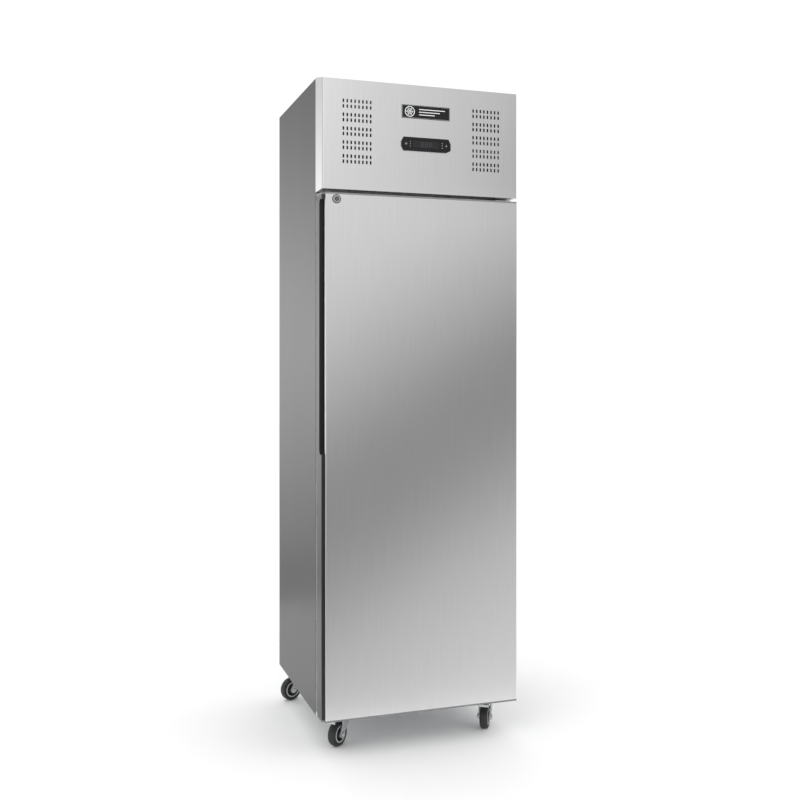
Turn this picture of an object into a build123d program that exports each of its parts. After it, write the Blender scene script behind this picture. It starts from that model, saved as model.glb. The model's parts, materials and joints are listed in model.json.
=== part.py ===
from build123d import *
from math import cos, radians, sin
import os

os.makedirs("parts", exist_ok=True)

# Reach-in refrigerator: one solid door hung on the right, machine compartment on top, four casters.
# Frame: X to the right along the front, Y to the back, Z up, millimetres.
# The origin is on the floor, under the middle of the overall width and depth.

# ---- Driving dimensions -------------------------------------------------------------------------

# Carcass
cabinet_width = 620
carcass_depth = 525
carcass_height = 1900
steel = 1.2                 # folded stainless sheet
base_plate = 2
deck_sheet = 1.5
liner_sheet = 1
side_wall = 45              # outside of the carcass to the cavity
rear_wall = 50
floor_wall = 55
ceiling_wall = 55
corner_bend = 4
breaker_depth = 8           # plastic frame round the opening
breaker_width = 16

# Fascia in front of the machine compartment
fascia_height = 323
fascia_drop = 19            # the fascia's front top edge below the carcass top
fascia_corner = 6
header_rise = 20            # face frame above the machine deck

# Door
door_thickness = 62
seal_space = 20             # between the door's back and the carcass front
door_gap = 10               # under the fascia
door_floor_gap = 3          # door bottom above the carcass bottom
header_overlap = 36         # door top above the cavity ceiling
cap_height = 5
skin_bend = 3
lip_setback = 10            # front skin's left edge in from the door's side
lip_depth = 12.5
grip_width = 30             # black profile in the door's left edge
grip_thickness = 50
grip_wall = 6
scoop_width = 35            # finger pull, measured front to back
scoop_length = 750
scoop_offset = 22           # middle of the finger pull behind the door front
scoop_top_margin = 12
floor_round = 8
dyke_height = 16            # raised panel on the door's inner face
dyke_margin = 60            # raised panel in from the door's edges
dyke_corner = 25
gasket_inset = 18
gasket_width = 12
gasket_bellows = 14         # depth of the gasket's plain foot
gasket_foot_inset = 1.5     # the foot is narrower than the bellows on each side
gasket_gap = 0.3

# Hinge
hinge_edge = 14             # pivot in from the door's right side
hinge_ahead = 38            # pivot ahead of the carcass front
pin_radius = 5
pin_depth = 15
running_clearance = 0.05
bush_radius = 8
bush_length = 18
bracket_plate = 4
bracket_width = 58
bracket_overhang = 12       # bracket past the pivot
bracket_flange = 50
lower_bracket_flange = 18
bracket_gap = 2             # fascia's lower return clear of the bracket
bracket_corner = 10

# Lock
lock_inset = 43             # in from the door's left side
lock_drop = 19              # below the door's top
lock_flange_radius = 11
lock_flange_height = 2
lock_barrel_radius = 8.5
lock_plug_radius = 7
lock_barrel_length = 24
cam_thickness = 3
cam_width = 10
cam_catch = 5               # how far the turned cam reaches into the fascia
cam_slot_gap = 1.3          # round the cam in the slots that it turns through
lock_pocket_gap = 2         # behind the cam in the door's foam
plug_setback = 0.5          # plug's face behind the flange's
key_slot = (1.6, 5, 8)      # width, depth, height
moving_gap = 0.3

# Controls and badge on the fascia
controls_x = 10
control_reach = 4           # bezel ahead of the fascia
controller_width = 157
controller_height = 41
controller_z_offset = 146   # controller centre above the fascia's bottom edge
controller_point = 7
housing_width = 122
housing_height = 34
housing_depth = 30
display_width = 84
display_height = 22
display_thickness = 1
display_corner = 4
bezel_edge = 1
button_radius = 4.5
button_spacing = 128
button_depth = 3
button_stand = 0.6
button_edge = 0.4
button_stroke = 1
badge_width = 153
badge_height = 40
badge_thickness = 1.5
badge_corner = 1.5
badge_edge = 0.5
badge_z_offset = 243

# Air slots in the fascia
slot_length = 11
slot_width = 5
slot_columns = 8
slot_column_pitch = 11.9
slot_row_pitch = 16
slot_bands = 5
slot_band_pitch = 40.5
slot_group_x = 205
slot_centre_offset = 171    # slot field centre above the fascia's bottom edge

# Shelves
shelf_levels = (450, 780, 1110)
shelf_front_gap = 18
shelf_rear_gap = 20
shelf_side_gap = 3
shelf_corner = 14
rim_radius = 3.5
slat_radius = 1.8
slat_count = 19
weld_depth = 0.8
pilaster_depth = 10
pilaster_width = 22
pilaster_inset = 60         # pilaster centres in from the shelf's front and rear edges
pilaster_floor_gap = 40
pilaster_slots = 24
pilaster_slot_height = 4
pilaster_slot_width = 10
clip_reach = 14
clip_width = 16
clip_thickness = 3
clip_tab_sheet = 2.5
clip_tab_height = 18

# Casters
caster_height = 108
wheel_radius = 37.5
tyre_width = 25
rim_outer = 26
hub_width = 28
axle_radius = 6
axle_head = 4
axle_head_radius = 8.5
web_recess = 3              # wheel's web behind the tyre's face
wheel_boss_radius = 12
rim_ring = 4
tyre_shoulder = 5
caster_trail = 33
caster_inset = 44           # swivel axis in from the carcass front and back
caster_x = {"front_left": -212, "front_right": 262, "rear_left": -250, "rear_right": 250}
plate_length = 84           # front to back
plate_width = 65
plate_thickness = 3
plate_corner = 6
plate_slot = (11, 8)        # length, width
plate_slot_inset = (9, 10)  # from the plate's side and from its front or rear edge
raceway_radius = 24
raceway_height = 7.7
kingpin_radius = 5
kingpin_tail = 3            # below the fork's sheet
kingpin_flange = 3          # the riveted end, wider than the pin by this on each side
kingpin_flange_height = 2.4
fork_sheet = 2.5
fork_inner = 32             # between the fork legs
fork_top_radius = 22
fork_foot_radius = 11
pedal_pin_radius = 3
pedal_length = 57
pedal_arm = 13              # pin to the start of the tread
pedal_tread_width = 36
pedal_lip = 7
pedal_drop = 11             # pin below the fork's top
pedal_boss = 2              # round the pin
pedal_rise = 4.5            # tread's top above the pin
pedal_sheet = 3
pedal_lip_sheet = 2.5
pedal_side_gap = 1          # arm to fork leg
caster_angles = {"front_left": 221, "front_right": 238, "rear_left": 200, "rear_right": 215}

# Machine compartment
grommet_height = 14
grommet_radius = 12
grommet_inset = 18          # in from the edges of the compressor's feet
compressor_radius = 78
compressor_height = 180
compressor_x = 185
compressor_y = 150
compressor_feet = (210, 130)
compressor_foot_sheet = 4
compressor_foot_corner = 16
compressor_narrowing = 0.88 # depth of the oval shell over its width
compressor_dome = 0.45      # edge radius of the shell's top over its half width
discharge_side = 30         # discharge stub left of the shell's middle
suction_side = 20           # suction stub right of it
coil_width = 230
coil_depth = 55
coil_height = 250
coil_x = -160
coil_front_gap = 60         # coil behind the carcass front
fin_thickness = 0.8
fin_pitch = 12
tube_radius = 4.8
condenser_rows = 6
shroud_sheet = 1.5
shroud_collar = 22
fan_tip_gap = 5
condenser_fan_radius = 96
fan_hub_radius = 22
fan_blades = 5
fan_depth = 20
blade_root = 2              # blades sunk into the hub
blade_chord = 0.55          # over the fan's radius
fan_setback = 14            # fan's front behind the shroud's collar
motor_gap = 22              # motor behind the fan
shaft_entry = 12            # shaft inside the motor
blade_thickness = 2
blade_pitch = 28            # degrees
shaft_radius = 3
motor_radius = 36
motor_length = 55
grille_inset = 22           # rear grille in from the carcass back
gland_radius = 12
gland_bore = 4.5
gland_reach = 14
gland_body_radius = 9.6
port_radius = 20            # pipe passage through the insulated ceiling
port_x = 55
pipe_spread = 8             # each pipe from the passage's axis
pipe_radius = 3.2
pipe_bend = 14
drier_radius = 10
drier_length = 90
drier_y = 25
suction_rise = 30
louvre_length = 70
louvre_height = 6
louvre_pitch = 16
louvre_column_gap = 16
louvre_rows = 14
louvre_columns = 5
grille_louvre_x = 40
grille_gland_inset = 60
grille_screw_inset = 14
screw_head_radius = 4
screw_head_height = 2.4
screw_shank_radius = 2
screw_length = 8
screw_gap = 0.1

# Evaporator unit under the cavity ceiling
unit_half_width = 235
unit_depth = 165
unit_height = 140
evaporator_width = 210
evaporator_depth = 80
evaporator_height = 105
evaporator_rows = 4
evaporator_rear_gap = 15
evaporator_x = -105
evaporator_fan_x = 130
evaporator_fan_radius = 60
evaporator_motor_radius = 28
evaporator_motor_length = 45
evaporator_motor_gap = 20
evaporator_shaft_entry = 6
evaporator_fan_setback = 24 # fan's front behind the unit's face
evaporator_lift = 20        # coil above the unit's bottom
intake_slot = (26, 6)       # length, width
intake_pitch = (14, 34)
intake_grid = (15, 3)
lamp_length = 240
lamp_depth = 26
lamp_height = 12
lamp_setback = 40           # behind the breaker frame

# ---- Derived levels and planes ------------------------------------------------------------------

half_width = cabinet_width / 2
inner_half = half_width - steel
door_reach = door_thickness + seal_space
overall_depth = carcass_depth + door_reach + control_reach
carcass_back = overall_depth / 2
carcass_front = carcass_back - carcass_depth
door_front = carcass_front - door_reach
door_back = door_front + door_thickness
base_z = caster_height
top_z = base_z + carcass_height
fascia_top = top_z - fascia_drop
fascia_bottom = fascia_top - fascia_height
door_top = fascia_bottom - door_gap
door_bottom = base_z + door_floor_gap
core_bottom = door_bottom + cap_height
core_top = door_top - cap_height
cavity_half = half_width - side_wall
cavity_floor = base_z + floor_wall
cavity_top = door_top - header_overlap
cavity_back = carcass_back - rear_wall
deck_z = cavity_top + ceiling_wall
deck_top = deck_z + deck_sheet
port_y = cavity_back - evaporator_rear_gap - evaporator_depth / 2
hinge_x = half_width - hinge_edge
hinge_y = carcass_front - hinge_ahead
fascia_plane = Plane.XZ.offset(-door_front)


# ---- Helpers ------------------------------------------------------------------------------------

def block(x, y, z, mode=Mode.ADD):
    """Box between two opposite corners, each axis given as a (low, high) pair."""
    with Locations((sum(x) / 2, sum(y) / 2, sum(z) / 2)):
        Box(x[1] - x[0], y[1] - y[0], z[1] - z[0], mode=mode)


def rod(centre, radius, length, axis="Z", mode=Mode.ADD):
    """Round bar about a centre point, along X, Y or Z."""
    turn = {"X": (0, 90, 0), "Y": (90, 0, 0), "Z": (0, 0, 0)}[axis]
    with Locations(centre):
        Cylinder(radius, length, rotation=turn, mode=mode)


def span(centre, length):
    """Low and high ends of a length about a centre."""
    return (centre - length / 2, centre + length / 2)


def save(piece, label):
    """Name a finished piece and write its STEP file."""
    piece.part.label = label
    export_step(piece.part, f"parts/{label}.step")


# ---- Carcass ------------------------------------------------------------------------------------

carcass_inside_y = (carcass_front + steel, carcass_back - steel)

# Folded outer skin: both sides and the top in one sheet
with BuildPart() as outer_wrap:
    with BuildSketch(Plane.XZ.offset(-carcass_back)):
        with Locations((0, base_z)):
            Rectangle(cabinet_width, carcass_height, align=(Align.CENTER, Align.MIN))
        fillet(vertices().group_by(Axis.Y)[-1], corner_bend)
        with Locations((0, base_z)):
            Rectangle(
                2 * inner_half, carcass_height - steel, align=(Align.CENTER, Align.MIN), mode=Mode.SUBTRACT
            )
    extrude(amount=carcass_depth)
save(outer_wrap, "outer_wrap")

with BuildPart() as back_panel:
    block((-inner_half, inner_half), (carcass_back - steel, carcass_back), (base_z, deck_z))
save(back_panel, "back_panel")

with BuildPart() as base_panel:
    block((-inner_half, inner_half), carcass_inside_y, (base_z, base_z + base_plate))
save(base_panel, "base_panel")

# Stainless frame that the door gasket closes on
window_half = cavity_half + breaker_width
window_z = (cavity_floor - breaker_width, cavity_top + breaker_width)
with BuildPart() as face_frame:
    block((-inner_half, inner_half), (carcass_front, carcass_front + steel), (base_z, deck_z + header_rise))
    block((-window_half, window_half), (carcass_front, carcass_front + steel), window_z, Mode.SUBTRACT)
save(face_frame, "face_frame")

# Plastic frame between the steel face and the inner liner, which stops heat crossing
with BuildPart() as breaker_frame:
    block(
        (-inner_half, inner_half),
        (carcass_front + steel, carcass_front + breaker_depth),
        (base_z + base_plate, deck_z),
    )
    block((-window_half, window_half), (carcass_front, carcass_front + steel), window_z)
    block(
        (-cavity_half, cavity_half),
        (carcass_front, carcass_front + breaker_depth),
        (cavity_floor, cavity_top),
        Mode.SUBTRACT,
    )
save(breaker_frame, "breaker_frame")

liner_y = (carcass_front + breaker_depth, cavity_back + liner_sheet)
with BuildPart() as inner_liner:
    block(
        (-cavity_half - liner_sheet, cavity_half + liner_sheet),
        liner_y,
        (cavity_floor - liner_sheet, cavity_top + liner_sheet),
    )
    block(
        (-cavity_half, cavity_half),
        (liner_y[0], cavity_back),
        (cavity_floor, cavity_top),
        Mode.SUBTRACT,
    )
    rod((port_x, port_y, cavity_top), port_radius, 4 * liner_sheet, mode=Mode.SUBTRACT)
save(inner_liner, "inner_liner")

with BuildPart() as cabinet_foam:
    block(
        (-inner_half, inner_half),
        (carcass_front + breaker_depth, carcass_back - steel),
        (base_z + base_plate, deck_z),
    )
    block(
        (-cavity_half - liner_sheet, cavity_half + liner_sheet),
        liner_y,
        (cavity_floor - liner_sheet, cavity_top + liner_sheet),
        Mode.SUBTRACT,
    )
    rod((port_x, port_y, deck_z - ceiling_wall / 2), port_radius, 2 * ceiling_wall, mode=Mode.SUBTRACT)
save(cabinet_foam, "cabinet_foam")

with BuildPart() as machine_deck:
    block((-inner_half, inner_half), carcass_inside_y, (deck_z, deck_top))
    rod((port_x, port_y, deck_z), port_radius, 4 * deck_sheet, mode=Mode.SUBTRACT)
save(machine_deck, "machine_deck")


# ---- Fascia and its controls --------------------------------------------------------------------

controller_z = fascia_bottom + controller_z_offset
badge_z = fascia_bottom + badge_z_offset
lock_x = lock_inset - half_width
lock_z = door_top - lock_drop
cam_length = lock_drop + door_gap + cam_catch
cam_front = door_front + lock_barrel_length + moving_gap
cam_y = (cam_front, cam_front + cam_thickness)
cam_slot_x = (lock_x - cam_width, lock_x + cam_length)
cam_slot_y = (cam_y[0] - cam_slot_gap, cam_y[1] + cam_slot_gap)
bracket_clearance = 2 * bracket_plate + bracket_gap

with BuildPart() as fascia_panel:
    with BuildSketch(Plane.YZ):
        with BuildLine():
            Polyline(
                (carcass_front, fascia_bottom),
                (door_front, fascia_bottom),
                (door_front, fascia_top),
                (carcass_front, top_z),
                close=True,
            )
        make_face()
    extrude(amount=half_width, both=True)
    fillet(edges().filter_by(Axis.Z).group_by(Axis.Y)[0], fascia_corner)
    offset(amount=-steel, openings=faces().sort_by(Axis.Y)[-1])
    # The lower return stops short of the carcass, and the door bracket rises through that gap
    block(
        (-inner_half, inner_half),
        (carcass_front - bracket_clearance, carcass_front),
        (fascia_bottom, fascia_bottom + steel),
        Mode.SUBTRACT,
    )
    # The lock's cam turns up through a slot in the lower return
    block(cam_slot_x, cam_slot_y, (fascia_bottom, fascia_bottom + steel), Mode.SUBTRACT)
    with BuildSketch(fascia_plane):
        with Locations((0, fascia_bottom + slot_centre_offset)):
            with GridLocations(2 * slot_group_x, slot_band_pitch, 2, slot_bands):
                with GridLocations(slot_column_pitch, slot_row_pitch, slot_columns, 2):
                    SlotOverall(slot_length, slot_width, rotation=90)
        with Locations((controls_x, controller_z)):
            Rectangle(housing_width, housing_height)
    extrude(amount=-2 * steel, mode=Mode.SUBTRACT)
save(fascia_panel, "fascia_panel")

button_names = ("power_button", "set_button")
button_centres = [(controls_x + side * button_spacing / 2, controller_z) for side in (-1, 1)]

with BuildPart() as controller_bezel:
    with BuildSketch(fascia_plane):
        with Locations((controls_x, controller_z)):
            Rectangle(controller_width, controller_height)
        chamfer(vertices(), controller_height / 3, controller_point)
    extrude(amount=control_reach)
    fillet(faces().sort_by(Axis.Y)[0].edges(), bezel_edge)
    with BuildSketch(fascia_plane):
        with Locations((controls_x, controller_z)):
            Rectangle(housing_width, housing_height)
    extrude(amount=-housing_depth)
    with BuildSketch(fascia_plane.offset(control_reach - display_thickness)):
        with Locations((controls_x, controller_z)):
            RectangleRounded(display_width, display_height, display_corner)
    extrude(amount=display_thickness, mode=Mode.SUBTRACT)
    with BuildSketch(fascia_plane.offset(control_reach - button_depth)):
        with Locations(*button_centres):
            Circle(button_radius + moving_gap)
    extrude(amount=button_depth, mode=Mode.SUBTRACT)
save(controller_bezel, "controller_bezel")

with BuildPart() as controller_display:
    with BuildSketch(fascia_plane.offset(control_reach - display_thickness)):
        with Locations((controls_x, controller_z)):
            RectangleRounded(display_width, display_height, display_corner)
    extrude(amount=display_thickness)
save(controller_display, "controller_display")

# The buttons rest above their sockets' floor by the length of their stroke
for button_name, button_centre in zip(button_names, button_centres):
    with BuildPart() as button:
        with BuildSketch(fascia_plane.offset(control_reach - button_depth + button_stroke)):
            with Locations(button_centre):
                Circle(button_radius)
        extrude(amount=button_depth - button_stroke - button_stand / 2)
        fillet(faces().sort_by(Axis.Y)[0].edges(), button_edge)
    save(button, button_name)

with BuildPart() as badge_plate:
    with BuildSketch(fascia_plane):
        with Locations((controls_x, badge_z)):
            RectangleRounded(badge_width, badge_height, badge_corner)
    extrude(amount=badge_thickness)
    fillet(faces().sort_by(Axis.Y)[0].edges(), badge_edge)
save(badge_plate, "badge_plate")


# ---- Door ---------------------------------------------------------------------------------------

core_height = core_top - core_bottom
lip_x = lip_setback - half_width
grip_x = grip_width - half_width
scoop_floor_x = grip_x - grip_wall
scoop_y = door_front + scoop_offset
scoop_z = core_top - scoop_top_margin - scoop_length / 2

with BuildPart() as door_skin:
    with BuildSketch(Plane.XY.offset(core_bottom)):
        with Locations((lip_x, door_front)):
            Rectangle(half_width - lip_x, door_thickness, align=Align.MIN)
        fillet(vertices().group_by(Axis.Y)[0], skin_bend)
        with Locations((lip_x + steel, door_front + steel)):
            Rectangle(inner_half - lip_x - steel, door_thickness, align=Align.MIN, mode=Mode.SUBTRACT)
        with Locations((lip_x, door_front + lip_depth)):
            Rectangle(steel, door_thickness, align=Align.MIN, mode=Mode.SUBTRACT)
    extrude(amount=core_height)
    rod((lock_x, door_front, lock_z), lock_barrel_radius + screw_gap, 4 * steel, "Y", Mode.SUBTRACT)
save(door_skin, "door_skin")

# Left edge sheet, cut away along the finger pull
with BuildPart() as door_stile:
    block((-half_width, -inner_half), (door_front + lip_depth, door_back), (core_bottom, core_top))
    with BuildSketch(Plane.YZ.offset(-half_width)):
        with Locations((scoop_y, scoop_z)):
            SlotOverall(scoop_length, scoop_width, rotation=90)
    extrude(amount=steel, mode=Mode.SUBTRACT)
save(door_stile, "door_stile")

# Black profile behind the lip: a full-height groove and the long finger pull
with BuildPart() as grip_profile:
    block((-inner_half, grip_x), (door_front + steel, door_front + grip_thickness), (core_bottom, core_top))
    block(
        (-inner_half, lip_x + steel),
        (door_front + steel, door_front + lip_depth),
        (core_bottom, core_top),
        Mode.SUBTRACT,
    )
    with BuildSketch(Plane.YZ.offset(scoop_floor_x)):
        with Locations((scoop_y, scoop_z)):
            SlotOverall(scoop_length, scoop_width, rotation=90)
    extrude(amount=-grip_width, mode=Mode.SUBTRACT)
    fillet(faces().filter_by(Axis.X).sort_by(Axis.X)[-2].edges(), floor_round)
save(grip_profile, "grip_profile")

dyke_half = half_width - dyke_margin
dyke_height_z = core_height - 2 * dyke_margin
core_mid_z = (core_top + core_bottom) / 2


def dyke(inset, low_y, high_y, mode=Mode.ADD):
    """Raised rounded panel on the door's inner face, drawn in by an inset all round."""
    with BuildSketch(Plane.XZ.offset(-low_y)) as outline:
        with Locations((0, core_mid_z)):
            RectangleRounded(2 * (dyke_half - inset), dyke_height_z - 2 * inset, dyke_corner - inset)
    extrude(outline.sketch, amount=low_y - high_y, mode=mode)


with BuildPart() as door_liner:
    block((-inner_half, inner_half), (door_back - liner_sheet, door_back), (core_bottom, core_top))
    dyke(0, door_back, door_back + dyke_height)
    dyke(liner_sheet, door_back - liner_sheet, door_back + dyke_height - liner_sheet, Mode.SUBTRACT)
save(door_liner, "door_liner")

lock_pocket_x = (grip_x, cam_slot_x[1] + cam_width)
lock_pocket_y = (door_front + steel, cam_y[1] + lock_pocket_gap)
lock_pocket_z = (lock_z - cam_width, core_top)
with BuildPart() as door_foam:
    block((-inner_half, inner_half), (door_front + steel, door_back - liner_sheet), (core_bottom, core_top))
    dyke(liner_sheet, door_back - liner_sheet, door_back + dyke_height - liner_sheet)
    block(
        (-inner_half, grip_x),
        (door_front + steel, door_front + grip_thickness),
        (core_bottom, core_top),
        Mode.SUBTRACT,
    )
    block(lock_pocket_x, lock_pocket_y, lock_pocket_z, Mode.SUBTRACT)
    for bush_end in (core_bottom, core_top):
        rod((hinge_x, hinge_y, bush_end), bush_radius, 2 * (bush_length - cap_height), mode=Mode.SUBTRACT)
save(door_foam, "door_foam")

# Dark plastic caps that close the door's top and bottom
with BuildPart() as door_end_caps:
    for cap_z in (door_bottom, core_top):
        with BuildSketch(Plane.XY.offset(cap_z)):
            with Locations((-half_width, door_front)):
                Rectangle(cabinet_width, door_thickness, align=Align.MIN)
            fillet(vertices().group_by(Axis.X)[-1].sort_by(Axis.Y)[0], skin_bend)
            with Locations((-half_width, door_front)):
                Rectangle(lip_setback, lip_depth, align=Align.MIN, mode=Mode.SUBTRACT)
            with Locations((hinge_x, hinge_y)):
                Circle(bush_radius, mode=Mode.SUBTRACT)
        extrude(amount=cap_height)
    block(cam_slot_x, cam_slot_y, (core_top, door_top), Mode.SUBTRACT)
save(door_end_caps, "door_end_caps")

with BuildPart() as hinge_bushes:
    for bush_z in (door_bottom + bush_length / 2, door_top - bush_length / 2):
        rod((hinge_x, hinge_y, bush_z), bush_radius, bush_length)
        rod((hinge_x, hinge_y, bush_z), pin_radius + running_clearance, bush_length, mode=Mode.SUBTRACT)
save(hinge_bushes, "hinge_bushes")


def gasket_ring(inset, width, low_y, depth):
    """Rectangular ring parallel to the door, its outer edge in from the door's edge by an inset."""
    tall = door_top - door_bottom
    inner = inset + width
    with BuildSketch(Plane.XZ.offset(-low_y)) as outline:
        with Locations((0, (door_top + door_bottom) / 2)):
            RectangleRounded(cabinet_width - 2 * inset, tall - 2 * inset, gasket_width / 2)
            Rectangle(cabinet_width - 2 * inner, tall - 2 * inner, mode=Mode.SUBTRACT)
    extrude(outline.sketch, amount=-depth)


gasket_depth = carcass_front - gasket_gap - door_back
with BuildPart() as door_gasket:
    foot_width = gasket_width - 2 * gasket_foot_inset
    gasket_ring(gasket_inset + gasket_foot_inset, foot_width, door_back, gasket_bellows)
    gasket_ring(gasket_inset, gasket_width, door_back + gasket_bellows, gasket_depth - gasket_bellows)
save(door_gasket, "door_gasket")

# Lock: a fixed body and the turning plug with its cam
lock_body_y = (door_front - lock_flange_height, door_front + lock_barrel_length)
with BuildPart() as lock_body:
    rod((lock_x, sum(lock_body_y) / 2, lock_z), lock_barrel_radius, lock_body_y[1] - lock_body_y[0], "Y")
    rod((lock_x, door_front - lock_flange_height / 2, lock_z), lock_flange_radius, lock_flange_height, "Y")
    fillet(faces().sort_by(Axis.Y)[0].edges(), 0.8)
    plug_bore = lock_plug_radius + running_clearance
    rod((lock_x, door_front, lock_z), plug_bore, 4 * lock_barrel_length, "Y", Mode.SUBTRACT)
save(lock_body, "lock_body")

plug_y = (door_front - lock_flange_height + plug_setback, cam_y[1])
with BuildPart() as lock_plug:
    rod((lock_x, sum(plug_y) / 2, lock_z), lock_plug_radius, plug_y[1] - plug_y[0], "Y")
    block(
        span(lock_x, key_slot[0]),
        (plug_y[0], plug_y[0] + key_slot[1]),
        span(lock_z, key_slot[2]),
        Mode.SUBTRACT,
    )
    with BuildSketch(Plane.XZ.offset(-cam_y[1])):
        with Locations((lock_x + (cam_length - cam_width / 2) / 2, lock_z)):
            SlotOverall(cam_length + cam_width / 2, cam_width)
    extrude(amount=cam_thickness)
save(lock_plug, "lock_plug")


# ---- Hinge brackets -----------------------------------------------------------------------------

upper_plate_z = (door_top + (door_gap - bracket_plate) / 2, door_top + (door_gap + bracket_plate) / 2)
bracket_x = (hinge_x + bracket_overhang - bracket_width, hinge_x + bracket_overhang)
flange_y = (carcass_front - bracket_plate, carcass_front)
with BuildPart() as top_hinge_bracket:
    with BuildSketch(Plane.XY.offset(upper_plate_z[0])):
        with Locations((bracket_x[0], hinge_y - bracket_overhang)):
            Rectangle(bracket_width, hinge_ahead + bracket_overhang, align=Align.MIN)
        fillet(vertices().group_by(Axis.Y)[0], bracket_corner)
    extrude(amount=bracket_plate)
    block(bracket_x, flange_y, (upper_plate_z[0], upper_plate_z[0] + bracket_flange))
    upper_pin_z = (door_top - pin_depth, upper_plate_z[1])
    rod((hinge_x, hinge_y, sum(upper_pin_z) / 2), pin_radius, upper_pin_z[1] - upper_pin_z[0])
save(top_hinge_bracket, "top_hinge_bracket")

lower_bracket_x = (hinge_x - bracket_overhang, hinge_x + bracket_overhang)
with BuildPart() as bottom_hinge_bracket:
    with BuildSketch(Plane.XY.offset(base_z - bracket_plate)):
        with Locations((lower_bracket_x[0], hinge_y - bracket_overhang)):
            Rectangle(2 * bracket_overhang, hinge_ahead + bracket_overhang, align=Align.MIN)
        fillet(vertices().group_by(Axis.Y)[0], bracket_corner)
    extrude(amount=bracket_plate)
    block(lower_bracket_x, flange_y, (base_z - bracket_plate, base_z + lower_bracket_flange))
    lower_pin_z = (base_z - bracket_plate, door_bottom + pin_depth)
    rod((hinge_x, hinge_y, sum(lower_pin_z) / 2), pin_radius, lower_pin_z[1] - lower_pin_z[0])
save(bottom_hinge_bracket, "bottom_hinge_bracket")


# ---- Shelves ------------------------------------------------------------------------------------

shelf_half = cavity_half - pilaster_depth - shelf_side_gap
shelf_y = (carcass_front + breaker_depth + shelf_front_gap, cavity_back - shelf_rear_gap)
pilaster_y = (shelf_y[0] + pilaster_inset, shelf_y[1] - pilaster_inset)
unit_bottom = cavity_top - unit_height
pilaster_z = (cavity_floor + pilaster_floor_gap, unit_bottom - pilaster_floor_gap)
rim_half = shelf_half - rim_radius
rim_y = (shelf_y[0] + rim_radius, shelf_y[1] - rim_radius)


def make_shelf(name, level):
    """Welded wire shelf: a round rim, two cross wires under the slats, and slats front to back."""
    with BuildSketch(Plane.XY.offset(level)) as outline:
        with Locations((0, sum(rim_y) / 2)):
            RectangleRounded(2 * rim_half, rim_y[1] - rim_y[0], shelf_corner)
    rim = outline.sketch.face().outer_wire()
    with BuildPart() as shelf:
        with BuildSketch(Plane(rim @ 0, z_dir=rim % 0)) as section:
            Circle(rim_radius)
        sweep(section.sketch, path=rim)
        for cross_y in pilaster_y:
            rod((0, cross_y, level), rim_radius, 2 * rim_half, "X")
        slat_pitch = 2 * (rim_half - shelf_corner) / (slat_count - 1)
        with Locations((0, sum(rim_y) / 2, level + rim_radius + slat_radius - weld_depth)):
            with GridLocations(slat_pitch, 1, slat_count, 1):
                Cylinder(slat_radius, rim_y[1] - rim_y[0] + rim_radius, rotation=(90, 0, 0))
    save(shelf, name)


for number, shelf_level in enumerate(shelf_levels, start=1):
    make_shelf(f"shelf_{number}", shelf_level)

# Slotted uprights on both cavity walls
with BuildPart() as shelf_pilasters:
    slot_pitch = (pilaster_z[1] - pilaster_z[0]) / (pilaster_slots + 1)
    for side in (-1, 1):
        wall_x = sorted((side * cavity_half, side * (cavity_half - pilaster_depth)))
        web_x = sorted((side * cavity_half, side * (cavity_half - pilaster_depth + steel)))
        for upright_y in pilaster_y:
            block(wall_x, span(upright_y, pilaster_width), pilaster_z)
            block(web_x, span(upright_y, pilaster_width - 2 * steel), pilaster_z, Mode.SUBTRACT)
            with BuildSketch(Plane.YZ.offset(side * (cavity_half - pilaster_depth))):
                with Locations((upright_y, sum(pilaster_z) / 2)):
                    with GridLocations(1, slot_pitch, 1, pilaster_slots):
                        Rectangle(pilaster_slot_width, pilaster_slot_height)
            extrude(amount=steel, both=True, mode=Mode.SUBTRACT)
save(shelf_pilasters, "shelf_pilasters")

# Four clips under each shelf
with BuildPart() as shelf_clips:
    for shelf_level in shelf_levels:
        ledge_top = shelf_level - rim_radius - moving_gap
        for side in (-1, 1):
            face_x = cavity_half - pilaster_depth
            ledge_x = sorted((side * face_x, side * (face_x - clip_reach)))
            tab_x = sorted((side * face_x, side * (face_x - clip_tab_sheet)))
            for upright_y in pilaster_y:
                block(ledge_x, span(upright_y, clip_width), (ledge_top - clip_thickness, ledge_top))
                block(tab_x, span(upright_y, clip_width), (ledge_top - clip_tab_height, ledge_top))
save(shelf_clips, "shelf_clips")


# ---- Finned coils, fans and motors --------------------------------------------------------------

def make_coil(name, x, y, z, rows):
    """Finned coil: a serpentine tube through upright fins, with return bends at both ends."""
    row_pitch = (z[1] - z[0]) / rows
    row_z = [z[0] + row_pitch * (row + 0.5) for row in range(rows)]
    middle_y = sum(y) / 2
    fin_count = int((x[1] - x[0]) / fin_pitch) + 1
    with BuildPart() as coil:
        with Locations((sum(x) / 2, middle_y, sum(z) / 2)):
            with GridLocations((x[1] - x[0] - fin_thickness) / (fin_count - 1), 1, fin_count, 1):
                Box(fin_thickness, y[1] - y[0], z[1] - z[0])
        for level in row_z:
            rod((sum(x) / 2, middle_y, level), tube_radius, x[1] - x[0], "X")
        for row in range(rows - 1):
            end_x = x[row % 2]
            outward = 1 if row % 2 == 0 else -1
            with BuildSketch(Plane.YZ.offset(end_x)):
                with Locations((middle_y, row_z[row])):
                    Circle(tube_radius)
            turn_axis = Axis((end_x, middle_y, (row_z[row] + row_z[row + 1]) / 2), (0, outward, 0))
            revolve(axis=turn_axis, revolution_arc=180)
    save(coil, name)


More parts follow.
